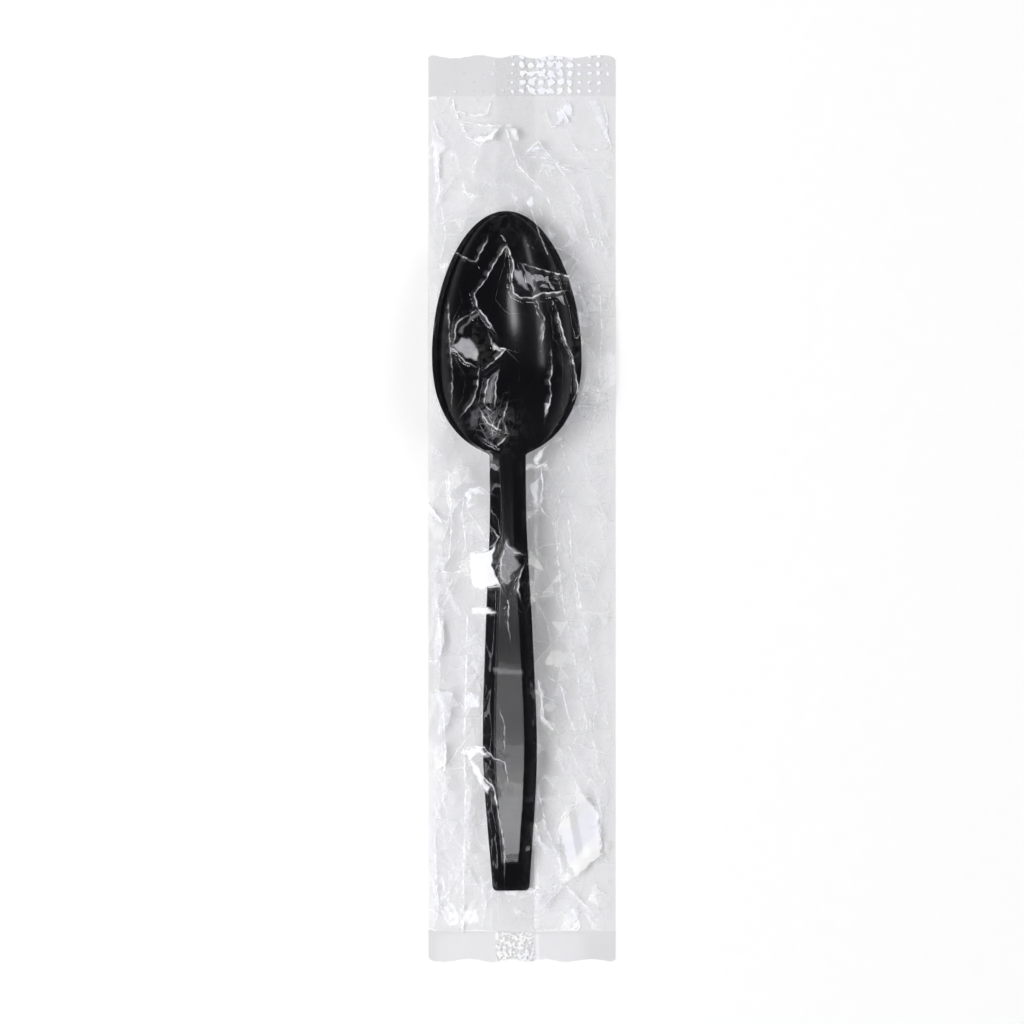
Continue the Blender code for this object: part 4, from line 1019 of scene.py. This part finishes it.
def front_film(x, y):
    """(height, values) of the front film: the smooth height plus all that is crushed into it."""
    free = freedom(x, y)
    bx, by = bent(x, y * 0.75, 1.6, 7.0, 1.3)
    large, large_line, large_strength, large_shade = crushed_net(bx, by, *LARGE_NET)
    bx, by = bent(x, y, 0.9, 4.1, 2.1)
    small, small_line, small_strength, small_shade = crushed_net(bx, by, *SMALL_NET)
    bx, by = bent(x, y, 0.5, 1.9, 4.4)
    tiny, tiny_line, tiny_strength, tiny_shade = crushed_net(bx, by, *TINY_NET)
    crease, line, strength, lit_side_highlight = crease_field(x, y)
    net = 0.55 * large + 0.14 * large_strength * tent(large_line, 0.8)
    fine = 0.12 * small + 0.07 * small_strength * tent(small_line, 0.5)
    edge = np.clip((SIDE - np.abs(x)) / 2, 0, 1) * towards_seals(y) ** 0.5
    height = front_height(x, y) + free * (long_folds(x, y) + 0.7 * slow_waves(x, y) + net + fine)
    on_black = over_spoon(x, y)
    spots = crushed(x, y)
    on_crown = on_black * ease((-20 - y) / 5)
    height = height + edge * (CREASE_RISE * (1 - 0.75 * on_crown) * crease + 0.12 * spots * tiny)
    jaws = pressed(y)
    # Painted highlights: the white polygons, random facets painted white beside the spoon, grey facets
    # painted over it in crushed spots, and the lit side of creases.
    beside = (1 - on_black) * free**2
    broken = spots * np.clip(tiny_shade * 2.4 - 1.2, 0, 1)
    facets = 0.26 * beside * np.clip(small_shade * 4 - 2.8, 0, 1)
    facets = facets + 0.08 * beside * np.clip(large_shade * 3 - 1.5, 0, 1)
    painted_highlight = np.maximum(highlight_facets(x, y), np.maximum(facets, 0.1 * on_black * broken))
    # The strengths below set painted highlight lines along creases and the nets' edges, fainter over the
    # spoon.
    calm = 1 - 0.85 * on_black
    values = {"crease_line": line, "crease_strength": strength * (1 - jaws) * (1 - 0.3 * on_black),
              "net_line": large_line, "net_strength": large_strength * free * 0.45 * calm,
              "small_line": small_line, "small_strength": small_strength * free**2 * 0.35 * calm,
              "tiny_line": tiny_line, "tiny_strength": tiny_strength * np.clip(spots * 1.5 - 0.3, 0, 1) * 0.6,
              "painted_highlight": np.maximum(painted_highlight, (0.22 - 0.1 * on_black) * lit_side_highlight) * (1 - jaws),
              "jaws": jaws, "pressing": pressing(x, y)}
    return height * (1 - jaws) + (FIN_STACK + LAYER) * jaws, values


across = np.concatenate([[-21, -20.9, -20.6, -20.2], np.arange(-19.8, 14.4, 0.225),
                         np.linspace(14.5, 20.9, 15), [21]])
bottom = np.linspace(-CUT, -22.2, 172)
bowl = np.arange(-22.0, 67.5, 0.27)
x, y = np.meshgrid(across, np.concatenate([bottom, bowl, np.linspace(67.7, CUT, 78)]))
z, values = front_film(x, y)
y = cut_edge(x, y)
front = mesh_object("front_film", np.stack([x, y, z], axis=-1).reshape(-1, 3), grid_faces(*x.shape))
for name, value in values.items():
    give_values(front, name, value)
front.data.set_sharp_from_angle(angle=math.radians(50))
middle_y = (y[:-1, :-1] + y[1:, 1:]).ravel() / 2
welded = (middle_y > TOP_SEALED) | (middle_y < BOTTOM_SEALED)  # 0 is loose film, 1 a crimp
front.data.polygons.foreach_set("material_index", welded.astype(np.int32))
print("front film from", z.min().round(2), "to", z.max().round(2), "mm high")

# %% [markdown]
# ## The back film and its fin
#
# The web's two margins meet at the back. The right margin lies on the table under the fold. The
# left half runs over it, turns round a hairpin at the root of the fin, and comes back between.
# Both halves are strips carried along the pack, so each is one path from margin to side fold.


# %% Build the back film
FIN_COLUMNS = 11


def back_halves(y):
    """Two paths of (x, z) across the pack at rows y, from each margin's edge to its side fold."""
    flat = 0 * y
    fin = np.linspace(FIN_LEFT, FIN_ROOT, FIN_COLUMNS + 1)
    right = np.concatenate([fin, np.linspace(FIN_ROOT, SIDE, 26)[1:]]) + flat
    right_z = np.maximum(back_height(right, y), FILM / 2)
    bend = np.linspace(-math.pi / 2, math.pi / 2, 5)[1:-1]
    upper = FILM / 2 + LAYER
    half_gap = (FIN_STACK - LAYER) / 2
    hairpin_x = FIN_ROOT + half_gap * np.cos(bend)
    hairpin_z = upper + half_gap + half_gap * np.sin(bend)
    over = np.linspace(FIN_ROOT, -SIDE, 40)
    left = np.concatenate([fin, hairpin_x, over]) + flat
    over_z = np.maximum(back_height(over + flat, y), over_fin(over) * FIN_STACK + FILM / 2)
    left_z = np.concatenate([fin * 0 + upper + flat, hairpin_z + flat, over_z], axis=1)
    return (right, right_z), (left, left_z)


def back_wrinkles(x, y):
    """Low facets in the back film, which the table holds flat."""
    bx, by = bent(x, y * 0.8, 1.2, 6.0, 4.2)
    large, line, strength, _ = crushed_net(bx, by, 7.5, 0.5, 21)
    return 0.12 * large + 0.1 * strength * tent(line, 0.9), line, strength


rows_y = np.linspace(-CUT, CUT, 341)[:, None]
points, faces, lines, strengths, jaws, slots, count = [], [], [], [], [], [], 0
for number, (x, z) in enumerate(back_halves(rows_y)):
    y = rows_y + 0 * x
    wrinkle, line, strength = back_wrinkles(x, y)
    over_the_fin = (x > FIN_LEFT - 0.5) & (x < FIN_ROOT + 0.5)
    free = np.clip((SIDE - np.abs(x)) / 2, 0, 1) * ((z > FIN_STACK) | ~over_the_fin)
    z = z + wrinkle * free * (1 - pressed(y))
    under_front = 0.05 * (1 + (x <= FIN_ROOT) * (2 - number))
    z = z * (1 - pressed(y)) + (FIN_STACK + LAYER - under_front) * pressed(y)
    points.append(np.stack([x, cut_edge(x, y), z], axis=-1).reshape(-1, 3))
    these = grid_faces(*x.shape)
    faces.append(these + count if number == 0 else these[:, ::-1] + count)
    column = these[:, 0] % x.shape[1]
    slots.append((column < FIN_COLUMNS).astype(int))
    lines.append(line.ravel())
    # The back film's net edges carry painted highlight lines, as on the front.
    strengths.append((0.3 * strength * free * (1 - pressed(y))).ravel())
    jaws.append(pressed(y).ravel())
    count += x.size
back = mesh_object("back_film", np.concatenate(points), np.concatenate(faces))
give_values(back, "net_line", np.concatenate(lines))
give_values(back, "net_strength", np.concatenate(strengths))
give_values(back, "jaws", np.concatenate(jaws))
back.data.polygons.foreach_set("material_index", np.concatenate(slots))

# %% [markdown]
# ## Clear film
#
# Polypropylene film lets light through with a slight grey, and both its faces mirror a little.
# The finish first mixes a see-through part with a mirror part, whose share is set by Fresnel. It
# is held under a tenth, because what steep film mirrors away would in truth land on the table
# close by. Where the ends were welded, film is greyer and no air is left between its layers, so it
# mirrors less and gets a finish of its own. So do the layers of the fin.
#
# A second mix lays a white veil over creases, white facets and the dents of the jaws: rows of
# pyramids at the top, and fine grain over the fin at the bottom. The veil is painted highlight: it
# stands for the glints of light on these creases, facets and dents, and in part for the white of
# sharply bent film. A tent over the signed distance draws hair-thin lines however coarse the mesh
# is.


# %% Finish of the film
def clear_film(name, tint, gloss):
    """See-through with mirror gloss, mixed with a white veil of painted highlight by its share at each place.
    """
    film = Finish(name)
    place = film.node("ShaderNodeTexCoord", out=3)
    split = film.node("ShaderNodeSeparateXYZ", None, {"Vector": place}, out=None).outputs
    fine = film.node("ShaderNodeTexNoise", None, {"Vector": place, "Scale": 1100.0, "Detail": 1.0})
    cloud = film.node("ShaderNodeTexNoise", None, {"Vector": place, "Scale": 110.0, "Detail": 2.0})

    def value(kind):
        return film.node("ShaderNodeAttribute", {"attribute_name": kind}, out=2)

    def thin_line(kind, width):
        """1 less the distance to a line over a width that changes along it, times a strength."""
        reach = cloud * width + fine * width * 0.4 + width * 0.2
        away = film.maths("ABSOLUTE", value(kind + "_line")) / reach
        return (1 - away).held() * value(kind + "_strength") * (fine * 0.8 + 0.5)

    def ribs(axis, pitch):
        """1 in the middle of each rib and 0 between ribs, across the x or y axis."""
        return film.maths("COSINE", Wire(film, split[axis]) * (2 * math.pi / (pitch * MM))) * 0.5 + 0.5

    # Painted glints on the crimps: white dots where the pyramids and noise pass a threshold, more where the
    # jaws pressed hard, and fine grain over the fin.
    pyramids = ribs(0, 2.15) * ribs(1, 1.95)
    force = value("pressing")
    at_top = (Wire(film, split[1]) * 1000.0).held()
    grain = film.node("ShaderNodeTexNoise", None, {"Vector": place, "Scale": 1500.0, "Detail": 1.0})
    marks = (pyramids + fine * 1.8) * at_top + grain * (1 - at_top) * 3.0
    stamped_glints = ((marks + force * 1.2 - 2.65 + at_top * 0.5) * 6.0).held() * value("jaws")
    # The white veil's share: painted highlight lines along creases and net edges, painted highlights of
    # facets, and painted glints of the dents.
    lines = (thin_line("crease", 0.26) * 1.6 + thin_line("net", 0.16)
             + thin_line("small", 0.12) + thin_line("tiny", 0.13))
    highlight_share = (lines.held() + value("painted_highlight") * (cloud * 2.4 + fine * 0.5 - 0.1) + stamped_glints).held() * 0.93
    relief = film.node("ShaderNodeBump", None, {
        "Strength": 0.5, "Distance": 0.00005, "Height": cloud + pyramids * force})
    faces = film.node("ShaderNodeFresnel", None, {"IOR": 1.5})
    colour = film.node("ShaderNodeMix", {"data_type": "RGBA"}, {
        0: ((cloud - 0.42) * 6).held(), 6: (0.93, 0.93, 1.0, 1), 7: (0.99, 0.99, 0.99, 1)}, out=2)
    clear = film.node("ShaderNodeBsdfTransparent", None, {"Color": tint})
    shine = film.node("ShaderNodeBsdfPrincipled", None, {
        "Base Color": colour, "Metallic": 1.0, "Normal": relief, "Roughness": 0.04 + fine * 0.06})
    mirrored = film.maths("MINIMUM", faces * gloss, 0.1)
    sheet = film.node("ShaderNodeMixShader", None, {0: mirrored, 1: clear, 2: shine})
    highlight_white = film.node("ShaderNodeMix", {"data_type": "RGBA"}, {
        0: ((cloud - 0.42) * 6).held(), 6: (0.87, 0.87, 0.95, 1), 7: (0.92, 0.92, 0.92, 1)}, out=2)
    upper = film.node("ShaderNodeBsdfPrincipled", None, {
        "Base Color": highlight_white, "Roughness": 0.5 + fine * 0.3, "Specular IOR Level": 0.2, "Normal": relief})
    lower = film.node("ShaderNodeBsdfTranslucent", None, {"Color": (0.97, 0.97, 0.98, 1)})
    veil = film.node("ShaderNodeMixShader", None, {0: 0.1, 1: upper, 2: lower})
    return film.surface(film.node("ShaderNodeMixShader", None, {0: highlight_share, 1: sheet, 2: veil}))


front.data.materials.append(clear_film("clear_film_front", (0.942, 0.942, 0.946, 1), 1.1))
front.data.materials.append(clear_film("clear_film_welded", (0.875, 0.875, 0.88, 1), 0.3))
back.data.materials.append(clear_film("clear_film_back", (0.975, 0.975, 0.978, 1), 0.6))
back.data.materials.append(clear_film("clear_film_fin", (0.998, 0.998, 0.999, 1), 0.1))
print("front and back finishes:", len(front.data.materials), len(back.data.materials))

for film in (front, back):
    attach(film, "root")
    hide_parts("film_sleeve")

# %% [markdown]
# ## Table, backdrop and light
#
# The pack lies on white with nothing else in sight. The table is a wide disc of white paper. It
# is lit plainly, and a share of plain white is added only for what the camera and mirrors see,
# so the paper keeps the pack's shadow and still comes out white.


# %% The white table
UNDER_PACK = 0.05


def disc(radius, angle):
    """A point of a flat disc: radius times cosine and sine of the angle, just under the pack."""
    return np.stack([radius * np.cos(angle), radius * np.sin(angle), 0 * radius - UNDER_PACK], axis=-1)


radius, angle = np.meshgrid(np.linspace(0, 1, 20) ** 2 * 4000 + 0.5, np.linspace(0, 2 * math.pi, 65))
floor = mesh_object("white_paper", disc(radius, angle).reshape(-1, 3), grid_faces(*radius.shape))
paper = Finish("white_paper")
rays = paper.node("ShaderNodeLightPath", out=None).outputs
seen = [Wire(paper, rays[kind]) for kind in ("Is Camera Ray", "Is Glossy Ray", "Is Transmission Ray")]
direct = (seen[0] + seen[1] + seen[2]).held()
on_paper = paper.node("ShaderNodeTexCoord", out=3)
grain = paper.node("ShaderNodeTexNoise", None, {"Vector": on_paper, "Scale": 300.0})
matt = paper.node("ShaderNodeBsdfPrincipled", None, {
    "Base Color": paper.node("ShaderNodeMix", {"data_type": "RGBA"}, {
        0: grain, 6: (0.88, 0.88, 0.885, 1), 7: (0.9, 0.9, 0.905, 1)}, out=2),
    "Roughness": 0.9, "Specular IOR Level": 0.1})
glow = paper.node("ShaderNodeEmission", None, {"Color": (1, 1, 1, 1), "Strength": 1.0})
white = paper.node("ShaderNodeMixShader", None, {0: direct * 0.18, 1: matt, 2: glow})
floor.data.materials.append(paper.surface(white))

# %% [markdown]
# Three softboxes light the scene: a large one on the left gives the soft shadow beside the bowl,
# and two weaker ones fill it. The bowl is a hollow mirror and would show all three, but in the
# photograph it shows only a small soft streak. So the softboxes aren't mirrored, and what is
# mirrored is placed apart: a small panel over the photographer's shoulder, four small panels close
# over the handle's end, which its sloping crown mirrors, and a thin strip for glints in the film.
# The close panels have a grid that narrows their light, so the bowl doesn't see them. They differ
# in width, radiance and place along the pack, so that the crown gets brighter towards its end.


# %% Lamps and world
def softbox(name, zenith, azimuth, distance, size, radiance, at=(0, 0), lights=True, mirrored=True,
            spread=180):
    """A rectangular lamp that looks at a place on the table; watts are radiance * area * pi."""
    lamp = bpy.data.lights.new(name, "AREA")
    lamp.shape = "RECTANGLE"
    lamp.size, lamp.size_y = size
    lamp.energy = radiance * size[0] * size[1] * math.pi
    lamp.spread = math.radians(spread)
    thing = bpy.data.objects.new(name, lamp)
    zenith, azimuth = math.radians(zenith), math.radians(azimuth)
    thing.location = (at[0] * MM + distance * math.sin(zenith) * math.cos(azimuth),
                      at[1] * MM + distance * math.sin(zenith) * math.sin(azimuth),
                      distance * math.cos(zenith))
    thing.rotation_euler = (0, zenith, azimuth)
    thing.visible_diffuse = lights
    thing.visible_glossy = mirrored
    thing.visible_camera = False
    scene.collection.objects.link(thing)
    share = radiance * size[0] * size[1] / distance**2 * math.cos(zenith)
    print(name, f"lights the floor with {share:.2f}" if lights else "is mirrored only")


softbox("softbox_left", 30, 188, 1.7, (0.9, 1.1), 9.5, mirrored=False)
softbox("softbox_right", 45, 8, 1.9, (0.8, 1.1), 3.1, mirrored=False)
softbox("softbox_far", 48, 95, 1.9, (0.8, 0.9), 2.1, mirrored=False)
softbox("panel_over_shoulder", 8.2, 200, 2.0, (0.22, 0.5), 6.2)
for name, width, radiance, at_y in (("panel_by_neck", 0.026, 0.042, -54),
                                    ("panel_by_handle", 0.034, 0.225, -84),
                                    ("panel_by_end", 0.02, 0.5, -111),
                                    ("panel_past_end", 0.026, 1.02, -134)):
    softbox(name, 0, 270, 0.15, (width, 0.036), radiance, at=(-3, at_y), lights=False, spread=76)
softbox("strip_left", 38, 188, 1.6, (0.1, 1.6), 3.0, lights=False)

world = bpy.data.worlds.new("pale_room")
scene.world = world
world.use_nodes = True
room = world.node_tree
looks = room.nodes.new("ShaderNodeTexCoord")
parts = room.nodes.new("ShaderNodeSeparateXYZ")
walls = room.nodes.new("ShaderNodeMapRange")
walls.interpolation_type = "SMOOTHSTEP"
# dim overhead and pale round the horizon
for socket, value in (("From Min", 0.4), ("From Max", 0.12), ("To Min", 0.02), ("To Max", 0.5)):
    walls.inputs[socket].default_value = value
room.links.new(looks.outputs["Generated"], parts.inputs[0])
room.links.new(parts.outputs["Z"], walls.inputs["Value"])
room.links.new(walls.outputs[0], room.nodes["Background"].inputs["Strength"])
room.nodes["Background"].inputs["Color"].default_value = (1, 1, 1, 1)
scene.view_settings.view_transform = "Standard"
